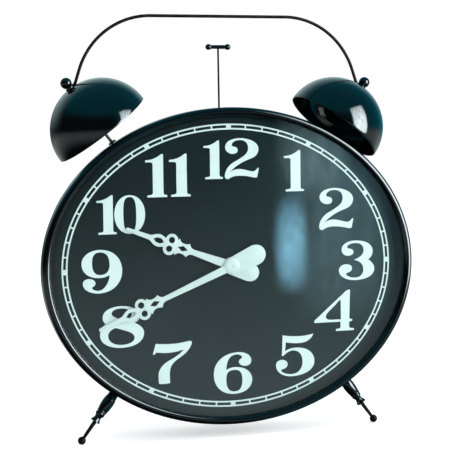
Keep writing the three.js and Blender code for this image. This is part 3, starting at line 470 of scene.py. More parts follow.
FIGURES = {
    "0": (
        "M 0 29.6 C 14 29.6 24.2 17 24.2 0 C 24.2 -17 14 -29.6 0 -29.6"
        " C -14 -29.6 -24.2 -17 -24.2 0 C -24.2 17 -14 29.6 0 29.6",
        "M 0 26.8 C 8.5 26.8 10.2 18 10.2 0 C 10.2 -18 8.5 -26.8 0 -26.8"
        " C -8.5 -26.8 -10.2 -18 -10.2 0 C -10.2 18 -8.5 26.8 0 26.8",
    ),
    "1": (
        "M 16 32.8 L 15.8 -25.5 C 16 -28 18 -28.6 21.5 -28.7 L 21.3 -31.8 L -9.2 -31.8 L -9.2 -28.7"
        " C -5 -28.6 -1 -28 -0.6 -25.5 L -0.4 18.5 C -0.6 20.5 -3 20.8 -11.6 20.8 L -11.6 23.9"
        " C -3 24 5 26.5 13.2 32.9",
    ),
    "2": (
        "M -2 33 C 14 33 30 26 30 15.5 C 30 7 24 1.5 15 -1 C 0 -6 -12 -13 -23 -25 C -18 -19 -10 -17 -3 -17"
        " C 5 -17.5 13 -21 20 -21.5 C 25 -21.5 26.5 -16 30 -15.5 C 30 -18 28 -27 26.5 -31.5 L 21 -31.5"
        " C 12 -29 4 -28 -4 -28 C -12 -28 -18 -30 -22 -33 C -26 -34 -29 -31 -28.3 -27"
        " C -27.5 -18 -20 -8 -8 -3.5 C 3 3 12.3 7 12.3 17 C 12.3 25 7 30 -2 30 C -9 30 -15 27 -16 22.5"
        " C -16 20 -13 19.5 -10 19 C -6 18 -4.3 13 -7 10 C -9 7.5 -16 7 -19 8.5 C -25 11 -27.5 15 -27 20"
        " C -25.5 29 -14 33 -2 33",
    ),
    "3": (
        "M 5 32 C 22 32 35.5 26 35.5 15 C 35.5 8 32 3.5 27.3 1 C 34 -3 38 -8 38 -14"
        " C 38 -25 24 -31.5 5 -31.5 C -12 -31.5 -23 -24 -23 -15.5 C -23 -9 -17 -5.5 -11 -5.5"
        " C -4 -5.5 0 -8.5 -0.5 -12.5"
        " C -1 -16.5 -4 -18 -8 -19 C -11 -20 -11.5 -21.5 -10 -23 C -7 -26 0 -27.5 5 -27.5"
        " C 14 -27.5 19 -22 19 -14.5 C 19 -6 14 -1.5 3 1.2 C 12 4 20 8 20 17 C 20 24.5 13 28 6 28"
        " C -1 28 -8 26 -8.5 22 C -8.5 20 -6 19.5 -3 19 C 1 18 3 15.5 2.5 13 C 2 10 -2 8 -7.5 8"
        " C -13 8 -18 12 -18 18 C -18 26 -8 32 5 32",
    ),
    "4": (
        "M 22.8 37.6 L 21 -8.5 C 21.5 -9.5 24 -9.8 26 -9.8 L 26 -12.8 C 22 -13 20.5 -14 20.5 -16"
        " L 20.5 -21.5 C 20.8 -24 23 -24.5 28.6 -24.7 L 28.6 -27.9 L -2 -27.9 L -2 -24.7"
        " C 2 -24.5 5.6 -24 5.8 -21.5"
        " L 5.8 -13.3 L -38 -13.2 C -39.3 -12 -39.2 -10.5 -38.5 -9.5 L 17 36.6",
        "M 6.6 21.8 L 6.6 -9.6 L -12 -9.4 C -17.5 -9.2 -20.5 -6 -18.8 -1.5 C -16.5 3.5 -4 12 1.5 18.5"
        " C 3 20.3 5 21.5 6.6 21.8",
    ),
    "5": (
        "M -18 31.5 C -10 29.5 2 28.5 12 28.7 C 20 28.8 27 30 33.5 31.5 C 32 26 25 19 14 18"
        " C 4 17 -6 18.5 -13 20 L -14.5 6 C -8 9.5 -2 10.7 5 10.7 C 22 10.7 35 2 35 -12"
        " C 35 -26 18 -34.5 -4 -34.5 C -18 -34.5 -30 -27 -30 -16 C -30 -11 -26 -7.5 -20 -7.5"
        " C -14 -7.5 -10.5 -11 -10.5 -15 C -10.5 -18.5 -13.5 -21 -17 -22 C -20 -22.8 -22.5 -23 -21.5 -25"
        " C -19 -28.5 -12 -31 -4 -31 C 7 -31 14.8 -24 14.8 -11.5 C 14.8 0 8 6.5 -1 6.5 C -8 6.5 -14 2 -17 -1"
        " L -20 -1.5",
    ),
    "6": (
        "M 9 31.5 C 22 31.5 31 25.5 31 17.5 C 31 12.5 27 9.3 21.5 9.3 C 15.5 9.3 11 12 10.5 16"
        " C 10.5 20 14 20.5 16 22.5 C 16 25.5 12 28 7 28 C -4 28 -10 20 -10.4 4 C -7 7 -1 8.3 4 8.3"
        " C 20 8.3 32 0 32 -12.5 C 32 -25 20 -33.8 2 -33.8 C -18 -33.8 -31 -21 -31 -2"
        " C -31 18 -14 31.5 9 31.5",
        "M 3 4 C -8 4 -10.7 -1 -10.7 -12 C -10.7 -24 -6 -30 2.5 -30 C 12 -30 15.8 -24 15.8 -11.5"
        " C 15.8 -1 12 4 3 4",
    ),
    "7": (
        "M -21.5 29.5 C -16 28.5 -5 28 3 28 C 14 28 24 29.5 31 31 C 35 31.8 37 30 36 27 C 34 20 27 12 18 7"
        " C 8 1 2 -4 0.5 -13 C -0.5 -20 0 -27 0.5 -32 C 0.5 -33.5 -17 -34 -17.5 -32.5"
        " C -18.5 -22 -18.5 -15 -15 -10 C -9 1 4 3 14 10.5 C 18 13 21 15.5 23 18.5 C 15 16 8 14.7 0 14.5"
        " C -8 14.3 -14 15 -20 16 C -22 15.5 -23 14 -23 13 L -26.5 13.3 C -25 18 -23 24 -21.5 29.5",
    ),
    "8": (
        "M 0 29 C 18 29 29 22 29 13 C 29 8 26 4.5 20 2.5 C 30 -1.5 35 -7 35 -14 C 35 -27 20 -35 0 -35"
        " C -20 -35 -34 -27 -34 -15 C -34 -7 -31 -1 -24.5 2.5 C -28 5 -29.5 8 -29.5 12"
        " C -29.5 22 -18 29 0 29",
        "M -1 25.5 C -9 25.5 -15.5 22.5 -15.5 18 C -15.5 14 -9 11.5 -1 8.5 C 3 7 6 6 8 6"
        " C 12 8 16 12 16 16.5 C 16 22 8 25.5 -1 25.5",
        "M -9.5 -4 C -16 -6 -21.5 -10 -21.5 -16 C -21.5 -25 -12 -30.5 -1 -30.5 C 11 -30.5 20 -27 20 -20"
        " C 20 -15 14 -11.5 6 -9 C 0 -7 -5 -5.5 -9.5 -4",
    ),
    "9": (
        "M -4 32.3 C 17 32.3 30 18 30 0 C 30 -20 14 -34 -7 -34 C -20 -34 -31.5 -28 -31.5 -19"
        " C -31.5 -14 -27 -11.3 -22 -11.3 C -16.5 -11.3 -12.5 -14.5 -12 -18 C -12 -22 -16 -23 -17.5 -25"
        " C -17 -28 -12 -30 -7 -30 C 2 -29 9.5 -18 10.3 -6.5 C 5 -9.5 0 -10.5 -6 -10.5"
        " C -22 -10.5 -33 -2 -33 11 C -33 23 -21 32.3 -4 32.3",
        "M -5 28.5 C 2 28.5 10.5 26 10.5 10 C 10.5 -2 4 -6 -4 -6 C -13 -6 -16.7 0 -16.7 12"
        " C -16.7 24 -12 28.5 -5 28.5",
    ),
}
# A numeral of two figures sets each one by its sideways and upward shift in millimetres and its size.
TWO_FIGURES = {
    10: (("1", -24.5, 0.7, 0.92), ("0", 16.3, 0.8, 1)),
    11: (("1", -20.5, -3, 1.02), ("1", 17, -3, 1.02)),
    12: (("1", -30.5, -2.8, 0.92), ("2", 19.8, -1, 0.956)),
}


def screen_ink(shade):
    place = shade.place()
    thin = place.noise(60, 5, 0.6).between(0.5, 0.8)
    weave = place.noise(1400, 2)
    return shade.principled(
        Base_Color=(thin * 0.6).mix(INK, INK_THIN),
        Roughness=0.55 + thin * 0.15,
        Normal=weave.bump(0.00002),
    )


def filled(name, outlines, thickness, rounding=0):
    """A flat plate from closed outlines, its back at z = 0. An outline inside another is a hole."""
    curve = bpy.data.curves.new(name, "CURVE")
    curve.dimensions = "2D"
    curve.fill_mode = "BOTH"
    curve.extrude = thickness / 2 - rounding
    curve.bevel_depth = rounding
    curve.bevel_resolution = 2
    curve.offset = -rounding
    for outline in outlines:
        whole = (outline[0] - outline[-1]).length < 1e-6
        points = outline[:-1] if whole else outline
        spline = curve.splines.new("POLY")
        spline.points.add(len(points) - 1)
        for target, point in zip(spline.points, points):
            target.co = (point.x, point.y, 0, 1)
        spline.use_cyclic_u = True
    holder = new_object(name, curve)
    mesh = evaluated_mesh(holder)
    bpy.data.objects.remove(holder)
    mesh.transform(Matrix.Translation((0, 0, thickness / 2)))
    return mesh


def upright(mesh, x, y, z, clockwise=0.0):
    """Stands a flat plate up to face the front, its back at that y, turned clockwise by an angle."""
    turn = Matrix.Rotation(clockwise, 4, "Y") @ Matrix.Rotation(math.pi / 2, 4, "X")
    mesh.transform(Matrix.Translation((x, y, z)) @ turn)
    return mesh


def track_outlines():
    """The track's two edges, and the sixty gaps that its rungs leave between its rails."""

    def at(offset, turn):
        x = (TRACK_HALF_WIDTH + offset) * math.sin(turn)
        return Vector((x, (TRACK_HALF_HEIGHT + offset) * math.cos(turn)))

    def half_rung(minute):
        turn = MINUTE_TURN * minute
        speed = math.hypot(TRACK_HALF_WIDTH * math.cos(turn), TRACK_HALF_HEIGHT * math.sin(turn))
        width = MINUTE_RUNG if minute % 5 else HOUR_RUNG
        return width / 2 / speed

    outlines = []
    for offset in (-TRACK_EDGE, TRACK_EDGE):
        outlines.append([at(offset, 2 * math.pi * i / RAIL_STEPS) for i in range(RAIL_STEPS)])
    for minute in range(60):
        start = MINUTE_TURN * minute + half_rung(minute)
        end = MINUTE_TURN * (minute + 1) - half_rung(minute + 1)
        turns = [start + (end - start) * i / GAP_STEPS for i in range(GAP_STEPS + 1)]
        inside = [at(-TRACK_GAP, turn) for turn in turns]
        outlines.append(inside + [at(TRACK_GAP, turn) for turn in reversed(turns)])
    return outlines


ink = material("screen_ink", screen_ink)
INK_CLEARANCE = 0.02 * MM
ink_back = dial_low.y - INK_CLEARANCE
track = upright(filled("minute_track", track_outlines(), INK_THICKNESS), 0, ink_back, case_middle.z)
piece("minute_track", track, ink, "hand_white", "case")
for hour in range(1, 13):
    turn = HOUR_TURN * hour
    outlines = []
    for figure, right, up, size in TWO_FIGURES.get(hour, ((str(hour), 0, 0, 1),)):
        for outline in FIGURES[figure]:
            shift = Vector((right, up)) * MM
            outlines.append([point * size + shift for point in pen(outline)])
    name = f"numeral_{hour}"
    x = NUMERAL_HALF_WIDTH * math.sin(turn)
    z = case_middle.z + NUMERAL_HALF_HEIGHT * math.cos(turn)
    mesh = upright(filled(name, outlines, INK_THICKNESS), x, ink_back, z)
    piece(name, mesh, ink, "hand_white", "case")

# ------------------------------------------------------------------ hands
# Two pierced hands blanked from 1.2 mm sheet and enamelled white: a blade, an open hexagon, twin rings,
# two pairs of barbs with a diamond between them, a slim stem, and a round counterweight past the hub.
HAND_WHITE = (0.72, 0.77, 0.77, 1)
HAND_SHADE = (0.6, 0.66, 0.67, 1)
HAND_EDGE = 0.22 * MM
HUB_RADIUS = 13.4


def hand_enamel(shade):
    place = shade.place()
    soft = place.noise(30, 4, 0.6).between(0.4, 0.8)
    return shade.principled(
        Base_Color=(soft * 0.6).mix(HAND_WHITE, HAND_SHADE),
        Roughness=0.36 + soft * 0.12,
        Normal=place.noise(500, 2).bump(0.00002),
    )


def mirrored(half):
    """A half outline from tip to tail, and back up the other side."""
    other = [Vector((-point.x, point.y)) for point in half[::-1] if abs(point.x) > 1e-7]
    return half + other


def round_hole(x, y, radius, steps=32):
    turns = [2 * math.pi * i / steps for i in range(steps)]
    return [Vector((x + radius * math.cos(t), y + radius * math.sin(t))) * MM for t in turns]


def hand_outlines(ring, stem, root, tail, tail_radius, bore):
    """The hand pointing up from its hub, in millimetres. Ring is the height of the twin rings' middles."""
    head = (
        f"M 0 {ring + 74.6} C 1.6 {ring + 74.6} 2.7 {ring + 73.4} 2.75 {ring + 71.8} L 3.9 {ring + 35}"
        f" C 4.4 {ring + 31} 9.6 {ring + 27} 9.6 {ring + 20}"
        f" C 9.6 {ring + 15} 7.6 {ring + 13} 7 {ring + 9.8}"
        f" C 12.4 {ring + 9.8} 16.8 {ring + 5.4} 16.8 {ring}"
        f" C 16.8 {ring - 5} 13.4 {ring - 8.6} 9.8 {ring - 9.4}"
        f" L 13.5 {ring - 11.5} C 9.6 {ring - 13.2} 8 {ring - 16.5} 8 {ring - 20}"
        f" C 8 {ring - 24} 9 {ring - 27.5} 10.8 {ring - 29.5}"
        f" C 7 {ring - 31} {stem + 0.5} {ring - 34} {stem} {ring - 38}"
    )
    foot = (
        f" L {root} 12.4 C 10 10.6 {HUB_RADIUS} 5.6 {HUB_RADIUS} 0 L {tail_radius} {tail + 2}"
        f" C {tail_radius} {tail - 0.55 * tail_radius} {0.55 * tail_radius} {tail - tail_radius}"
        f" 0 {tail - tail_radius}"
    )
    hexagon = f"M 0 {ring + 28.6} L 3.8 {ring + 23.6} L 4.1 {ring + 16} L 0 {ring + 10.8}"
    diamond = f"M 0 {ring - 12.3} L 4.25 {ring - 20.8} L 0 {ring - 29.3}"
    holes = [mirrored(pen(hexagon)), mirrored(pen(diamond))]
    rings = [round_hole(side * 7, ring, 4.9) for side in (-1, 1)]
    return [mirrored(pen(head + foot)), *holes, *rings, round_hole(0, 0, bore)]


white_enamel = material("hand_enamel", hand_enamel)
MINUTES_PAST = 41.2
HOURS_PAST = 9
minute_turn = MINUTE_TURN * MINUTES_PAST
hour_turn = HOUR_TURN * (HOURS_PAST + MINUTES_PAST / 60)
hour_outlines = hand_outlines(ring=105, stem=4.25, root=6.6, tail=-32, tail_radius=14.5, bore=4.1)
minute_outlines = hand_outlines(ring=157, stem=3.75, root=6, tail=-42, tail_radius=16, bore=2.6)
for name, node, outlines, turn, body in (
    ("hour_pointer", "hour_hand", hour_outlines, hour_turn, "hour_works"),
    ("minute_pointer", "minute_hand", minute_outlines, minute_turn, "minute_works"),
):
    low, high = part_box(node)
    mesh = filled(name, outlines, high.y - low.y, HAND_EDGE)
    upright(mesh, 0, high.y, case_middle.z, turn)
    piece(name, mesh, white_enamel, "hand_white", body, node)


FINE_STEPS = 128
CAP_STEPS = 96
BAR_STEPS = 64
SMALL_STEPS = 48
THIN_STEPS = 32
RIB_STEPS = 16


def turned(name, line, where, steps):
    """A piece turned on a lathe, from (radius, height) points, and set in place by a matrix."""
    sections = []
    for i in range(steps):
        turn = 2 * math.pi * i / steps
        across = Vector((math.cos(turn), math.sin(turn), 0))
        sections.append([across * radius + Vector((0, 0, height)) for radius, height in line])
    mesh = lofted(name, sections, closed=(line[0] - line[-1]).length > 1e-9 and line[0].x > 0)
    mesh.transform(where)
    return mesh


def turned_piece(name, line, where, steps, finish, slot, body, *nodes):
    return piece(name, turned(name, line, where, steps), finish, slot, body, *nodes)


# The cap nut is a shallow dome with a pinhole in which the arbor's dark end shows.
nut_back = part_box("hand_nut")[1].y
facing_front = Matrix.Translation((0, nut_back, case_middle.z)) @ Matrix.Rotation(math.pi / 2, 4, "X")
nut_line = pen("M 2.6 0 L 12.2 0 C 12.4 0.3 12.3 0.7 12 0.9 C 10.5 1.4 8 1.9 5 2 L 1.25 2 L 1.25 1 L 2.6 1")
cap_look = (white_enamel, "hand_white", "minute_works", "hand_nut")
turned_piece("hand_cap", nut_line, facing_front, CAP_STEPS, *cap_look)

# ------------------------------------------------------------------ bells
# Two deep bells pressed from 1.5 mm steel, each with a flat pad at the top for its post and a small bead
# at the rim. They lean outwards and wear the same black enamel.
BELL_LEAN = math.radians(37.6)
BELL_RIM_X = 191.3 * MM
BELL_RIM_Z = case_middle.z + 215.2 * MM
BELL_RADIUS = 80 * MM
BELL_DEPTH = 78.5 * MM
BELL_WALL = 1.5 * MM
BELL_PAD = 10 * MM
BELL_HOLE = 3.3 * MM
SIDES = (("left", -1), ("right", 1))


def bell_place(sign):
    """The bell's own frame: zero in the plane of its rim, and Z along its axis."""
    rim = Matrix.Translation((sign * BELL_RIM_X, 0, BELL_RIM_Z))
    return rim @ Matrix.Rotation(sign * BELL_LEAN, 4, "Y")


def bell_line(inside, steps=40):
    """From the rim to the pad and in to the hole, on a dome moved in by that much."""
    radius = BELL_RADIUS - inside
    depth = BELL_DEPTH - inside
    last = math.acos(BELL_PAD / radius)
    line = []
    for i in range(steps + 1):
        angle = last * i / steps
        line.append(Vector((radius * math.cos(angle), depth * math.sin(angle) / math.sin(last))))
    return line + [Vector((BELL_HOLE, depth))]


rim_bead = pen("M 78.5 0 C 78.5 -0.6 80 -0.6 80 0", 6)[1:-1]
bell_section = bell_line(0) + bell_line(BELL_WALL)[::-1] + rim_bead
for word, sign in SIDES:
    look = (enamel, "gloss_black", "case", f"bell_{word}")
    turned_piece(f"bell_dome_{word}", bell_section, bell_place(sign), FINE_STEPS, *look)

# ------------------------------------------------------------------ bell posts, collars and ball nuts
# Each bell sits on a shouldered steel post with a short collar under it, and a black ball nut screws
# down on the handle's eye to hold both.
post_line = pen(
    "M 0 -54 L 2.4 -54 L 2.4 73 C 3 74 7 74.3 7 74.8 L 7 76.5 L 6.8 76.7 L 2.4 76.7 L 2.4 88 L 0 88"
)
collar_line = pen("M 2.7 -50 L 6.5 -50 L 6.5 -27 C 6.5 -25 5.9 -24 5 -24 L 2.7 -24")
ball_line = pen(
    "M 0 88.3 L 2.7 88.3 L 2.7 81.6 L 4.6 81.6 C 7.2 83 8.75 86 8.75 89.2"
    " C 8.75 94.03 4.83 97.95 0 97.95"
)
for word, sign in SIDES:
    for part, line, node in (
        ("post", post_line, f"bell_post_{word}"),
        ("collar", collar_line, f"post_collar_{word}"),
        ("ball", ball_line, f"ball_nut_{word}"),
    ):
        look = (enamel, "gloss_black", "case", node)
        turned_piece(f"bell_{part}_piece_{word}", line, bell_place(sign), BAR_STEPS, *look)

# ------------------------------------------------------------------ carry handle
# One length of 5 mm steel wire, bent to a wide hoop with round shoulders. Its ends are flattened and
# drilled, and the eyes sit between the bells and the ball nuts.
WIRE_RADIUS = 2.5 * MM
EYE_MIDDLE = 80.05 * MM
SHOULDER_BEND = 120 * MM
EYE_BEND = 9 * MM
SHOULDER_AIM_X = 218.1 * MM
SHOULDER_AIM_Z = case_middle.z + 327.5 * MM
HANDLE_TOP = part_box("carry_handle")[1].z - WIRE_RADIUS
WIRE_START = 4 * MM
WIRE_BEND = 10.5 * MM
SATIN_WORN = (0.006, 0.008, 0.008, 1)


def rounded_corner(before, corner, after, radius, steps):
    """An arc of that radius in place of a corner."""
    inward = (before - corner).normalized()
    outward = (after - corner).normalized()
    half = inward.angle(outward) / 2
    centre = corner + (inward + outward).normalized() * (radius / math.sin(half))
    start = corner + inward * (radius / math.tan(half)) - centre
    end = corner + outward * (radius / math.tan(half)) - centre
    whole = start.angle(end)
    points = []
    for i in range(steps + 1):
        share = i / steps
        mixed = start * math.sin((1 - share) * whole) + end * math.sin(share * whole)
        points.append(centre + mixed / math.sin(whole))
    return points


def handle_half(sign):
    """The wire's middle line from the eye up to the middle of the hoop."""
    start = bell_place(sign) @ Vector((-sign * WIRE_START, 0, EYE_MIDDLE))
    bend = bell_place(sign) @ Vector((-sign * WIRE_BEND, 0, EYE_MIDDLE))
    rise = Vector((sign * SHOULDER_AIM_X, 0, SHOULDER_AIM_Z)) - bend
    corner = bend + rise * ((HANDLE_TOP - bend.z) / rise.z)
    top = Vector((0, 0, HANDLE_TOP))
    low_arc = rounded_corner(start, bend, corner, EYE_BEND, steps=8)
    return [start, *low_arc, *rounded_corner(bend, corner, top, SHOULDER_BEND, steps=40)]


def wire(name, line, radius, steps=20):
    """Round wire along a line that lies in the XZ plane."""
    sections = []
    for i, point in enumerate(line):
        along = (line[min(i + 1, len(line) - 1)] - line[max(i - 1, 0)]).normalized()
        across = along.cross(Vector((0, 1, 0))).normalized()
        turns = [2 * math.pi * j / steps for j in range(steps)]
        ring = [point + across * radius * math.cos(t) + Vector((0, radius * math.sin(t), 0)) for t in turns]
        sections.append(ring)
    return lofted(name, sections, around=False)


def satin_enamel(shade):
    """The thin coat on wire and rod, which runs off before it can level into a gloss."""
    scuffs = shade.place().noise(90, 4).between(0.4, 0.7)
    return shade.principled(
        Base_Color=scuffs.mix(ENAMEL_BLACK, SATIN_WORN),
        Roughness=0.42 + scuffs * 0.1,
        Specular_IOR_Level=0.1,
    )


satin = material("satin_enamel", satin_enamel)
handle_line = handle_half(-1) + handle_half(1)[::-1]
hoop = wire("handle_hoop", handle_line, WIRE_RADIUS)
piece("handle_hoop", hoop, satin, "gloss_black", "case", "carry_handle")
eye_line = pen(
    "M 3.3 78.8 L 6.6 78.8 C 6.9 78.8 7 79 7 79.3 L 7 80.8 C 7 81.1 6.9 81.3 6.6 81.3 L 3.3 81.3"
)
for word, sign in SIDES:
    look = (enamel, "gloss_black", "case")
    turned_piece(f"handle_eye_{word}", eye_line, bell_place(sign), SMALL_STEPS, *look)

# ------------------------------------------------------------------ front legs
# Splayed legs turned from bar: a ball foot on a thin tapered rod, plugged into a waisted socket with
# four ridges, which is screwed into the case.
LEG_LEAN = math.radians(37)
LEG_FOOT = Vector((240.6 * MM, -33.4 * MM, 5.7 * MM))
rod_line = pen(
    "M 0 -6.1 C 3.37 -6.1 6.1 -3.37 6.1 0 C 6.1 2.5 4.6 4.9 2.5 5.56 L 3.2 34 L 2.9 34.4"
    " L 2.3 34.4 L 2.3 44 L 0 44"
)
sleeve_line = pen(
    "M 0 45 L 2.6 45 L 2.6 34.7 L 7.5 34.7 C 8 34.7 8 35.6 7.6 36.4 C 6.6 38.6 5 41 5.2 43.4"
    " C 5.4 45.6 7.4 46.4 7.6 49.2 C 7.7 50.6 7 50.6 7 51.5 C 7 52.2 8 52.2 8.1 53"
    " C 8.3 53.9 7.7 53.8 7.8 54.6 C 8 56 8.7 58 9 62 C 9.4 66 9.6 71 9.1 75"
    " C 8.8 77.4 8 78.6 8 79.6 C 8 80.6 8.4 81 7.8 82 L 7.2 88 L 0 88"
)


def above_ground(mesh):
    """Flattens the foot where it stands."""
    for vertex in mesh.vertices:
        vertex.co.z = max(vertex.co.z, cad_box[0][2])
    return mesh


for word, sign in SIDES:
    spot = Matrix.Translation((sign * LEG_FOOT.x, LEG_FOOT.y, LEG_FOOT.z))
    where = spot @ Matrix.Rotation(-sign * LEG_LEAN, 4, "Y")
    rod = above_ground(turned(f"foot_rod_{word}", rod_line, where, BAR_STEPS))
    piece(f"foot_rod_{word}", rod, satin, "gloss_black", "case", f"leg_rod_{word}")
    look = (enamel, "gloss_black", "case", f"leg_sleeve_{word}")
    turned_piece(f"foot_socket_{word}", sleeve_line, where, BAR_STEPS, *look)

# ------------------------------------------------------------------ rear leg
# A third leg of the same turned and enamelled bar, screwed into the back of the bowl, from where it
# leans out to the rear. Its ball foot stands level with the front ones.
REAR_LEAN = math.radians(46.5)
REAR_FOOT = Vector((0, 72 * MM, LEG_FOOT.z))
rear_place = Matrix.Translation(REAR_FOOT) @ Matrix.Rotation(REAR_LEAN, 4, "X")
rear_line = pen(
    "M 0 -6.1 C 3.37 -6.1 6.1 -3.37 6.1 0 C 6.1 2.4 5 4.4 3.2 5.2 L 3.2 23 C 3.4 25.5 7 25 7 27.4"
    " L 7 38 L 6.6 38.5 L 6.6 40 L 7 40.5 L 7 52 L 0 52"
)
rear = above_ground(turned("rear_foot", rear_line, rear_place, BAR_STEPS))
piece("rear_foot", rear, enamel, "gloss_black", "case", "rear_leg")

# ------------------------------------------------------------------ hammer
# A double-ended striker on a thin upright rod. The rod comes up through a slot in the case and rocks on
# a pin inside. Rod and head are enamelled black.
head_middle = middle_of("hammer_head")
pin_middle = middle_of("hammer_pin")
head_place = Matrix.Translation(head_middle) @ Matrix.Rotation(math.pi / 2, 4, "Y")
head_line = pen(
    "M 0 -20.7 C 2.6 -20.7 4.7 -18.6 4.7 -16 C 4.7 -14 4.2 -12.6 3.1 -12.2 L 3.1 12.2"
    " C 4.2 12.6 4.7 14 4.7 16 C 4.7 18.6 2.6 20.7 0 20.7"
)
rod_place = Matrix.Translation((0, pin_middle.y, pin_middle.z))
ROD_SHORT_OF_HEAD = 0.8
rod_top = (head_middle.z - pin_middle.z) / MM - ROD_SHORT_OF_HEAD
hammer_rod_line = pen(f"M 0 2.5 L 1.5 2.5 L 1.5 {rod_top} L 0 {rod_top}")
hub_place = rod_place @ Matrix.Rotation(math.pi / 2, 4, "X")
hub_line = pen("M 1.6 -3 L 3.2 -3 L 3.2 3 L 1.6 3")
head_look = (enamel, "gloss_black", "hammer", "hammer_head")
rod_look = (satin, "gloss_black", "hammer", "hammer_rod")
turned_piece("striker_head", head_line, head_place, SMALL_STEPS, *head_look)
turned_piece("striker_rod", hammer_rod_line, rod_place, THIN_STEPS, *rod_look)
turned_piece("striker_hub", hub_line, hub_place, THIN_STEPS, zinc, "steel", "hammer")

# ------------------------------------------------------------------ plain steel parts kept from the frame
# Nuts, the hammer's bracket, its pin and its leaf spring are bought-in or stamped steel, zinc plated.
# They are plain shapes out of sight, so they keep the frame's meshes.

PLAIN_CREASE = 40
EASED_ANGLE = math.radians(50)


def dressed(finish, names, ease=0):
    """Gives CAD nodes a finish, smooth shading, and eased edges where they are moulded."""
    for name in names:
        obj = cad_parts[name]
        obj.data.materials.clear()
        obj.data.materials.append(finish)
        smoothed(obj, PLAIN_CREASE)
        if ease:
            edge = obj.modifiers.new("eased_edge", "BEVEL")
            edge.width = ease
            edge.segments = 2
            edge.limit_method = "ANGLE"
            edge.angle_limit = EASED_ANGLE


dressed(zinc, ["post_nut_left", "post_nut_right", "leg_nut_left", "leg_nut_right", "rear_leg_nut"])
dressed(zinc, ["hammer_bracket", "hammer_pin", "hammer_leaf_spring"])

# ------------------------------------------------------------------ back cover and screws
# An oval steel plate with a square window round the movement, enamelled, and held by four slotted
# dome-head screws.
cover_low, cover_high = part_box("back_cover")
cover_inset = CASE_HALF_WIDTH - (cover_high.x - cover_low.x) / 2
WINDOW = 44 * MM
SCREW_GAP = 0.3 * MM
SCREW_SLOT_DEPTH = 1.1 * MM
SCREW_SLOT_HALF_WIDTH = 0.5 * MM
PAST_HEAD = 5 * MM
cover_plate = oval_plate("rear_cover", cover_inset, cover_low.y, cover_high.y)
cover = piece("rear_cover", cover_plate, enamel, "gloss_black", "case", "back_cover")
cut_away(
    cover,
    Vector((-WINDOW, cover_low.y - PAST_HEAD, case_middle.z - WINDOW)),
    Vector((WINDOW, cover_high.y + PAST_HEAD, case_middle.z + WINDOW)),
)
screw_line = pen("M 0 0 L 4 0 C 4 0.9 2.6 2.2 0 2.2", 10)
for i in range(1, 5):
    head_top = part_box(f"back_screw_{i}")[1].y
    middle = middle_of(f"back_screw_{i}")
    seat = Matrix.Translation((middle.x, cover_high.y + SCREW_GAP, middle.z))
    where = seat @ Matrix.Rotation(-math.pi / 2, 4, "X")
    look = (zinc, "steel", "case", f"back_screw_{i}")
    screw = turned_piece(f"cover_screw_{i}", screw_line, where, SMALL_STEPS, *look)
    cut_away(
        screw,
        Vector((middle.x - PAST_HEAD, head_top - SCREW_SLOT_DEPTH, middle.z - SCREW_SLOT_HALF_WIDTH)),
        Vector((middle.x + PAST_HEAD, head_top + PAST_HEAD, middle.z + SCREW_SLOT_HALF_WIDTH)),
    )

# ------------------------------------------------------------------ movement box, cover and battery door
# The works' box, its lid, the battery door and the setting knob are moulded in black polystyrene, with
# a fine spark-eroded texture and slightly softened edges.
BOX_EASE = 0.4 * MM
KNOB_EASE = 0.25 * MM
RIB_PITCH = 3 * MM
MOULDED = (0.014, 0.015, 0.016, 1)
MOULDED_WORN = (0.035, 0.036, 0.038, 1)


def moulded_plastic(shade):
    place = shade.place()
    sparked = place.noise(2600, 3, 0.6)
    handled = place.noise(45, 4, 0.6).between(0.5, 0.8)
    return shade.principled(
        Base_Color=(handled * 0.5).mix(MOULDED, MOULDED_WORN),
        Roughness=0.52 - handled * 0.14,
        Normal=sparked.bump(0.00006),
    )


moulded = material("moulded_plastic", moulded_plastic)
dressed(moulded, ["movement_housing", "movement_cover", "battery_door"], BOX_EASE)
dressed(moulded, ["set_knob"], KNOB_EASE)

# Three low ribs on the battery door give the thumb a grip.
door_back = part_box("battery_door")[1].y
door_middle = middle_of("battery_door")
rib_line = pen("M 0 -9 L 0.55 -9 C 0.8 -8 0.8 8 0.55 9 L 0 9")
for i in range(3):
    z = door_middle.z + (i - 1) * RIB_PITCH
    where = Matrix.Translation((0, door_back, z)) @ Matrix.Rotation(math.pi / 2, 4, "Y")
    look = (moulded, "plastic_black", "cell_door")
    turned_piece(f"door_grip_{i + 1}", rib_line, where, RIB_STEPS, *look)

# ------------------------------------------------------------------ wheels and motor
# The wheels are moulded in natural acetal; the motor is a small plated can; the bush and its nut are
# turned brass.
ACETAL = (0.62, 0.6, 0.54, 1)
ACETAL_OILED = (0.5, 0.47, 0.38, 1)
BRASS = (0.56, 0.38, 0.13, 1)
BRASS_AGED = (0.3, 0.19, 0.07, 1)


def natural_acetal(shade):
    place = shade.place()
    oiled = place.noise(160, 4, 0.6).between(0.45, 0.75)
    return shade.principled(
        Base_Color=oiled.mix(ACETAL, ACETAL_OILED),
        Roughness=0.42 - oiled * 0.18,
        Normal=place.noise(1800, 2).bump(0.00002),
    )


def turned_brass(shade):
    place = shade.place()
    aged = place.noise(220, 5, 0.65).between(0.4, 0.75)
    tool_marks = place.stretched(1, 40, 1).noise(120, 2)
    return shade.principled(
        Base_Color=aged.mix(BRASS, BRASS_AGED),
        Metallic=1.0,
        Roughness=0.24 + aged * 0.2,
        Normal=tool_marks.bump(0.00002),
    )


acetal = material("natural_acetal", natural_acetal)
brass = material("turned_brass", turned_brass)
dressed(acetal, ["hour_wheel", "minute_arbor", "motion_wheel", "drive_pinion"])
dressed(brass, ["centre_bush", "fixing_nut"])
dressed(zinc, ["gear_motor", "quartz_crystal", "battery_contact_left", "battery_contact_right"])

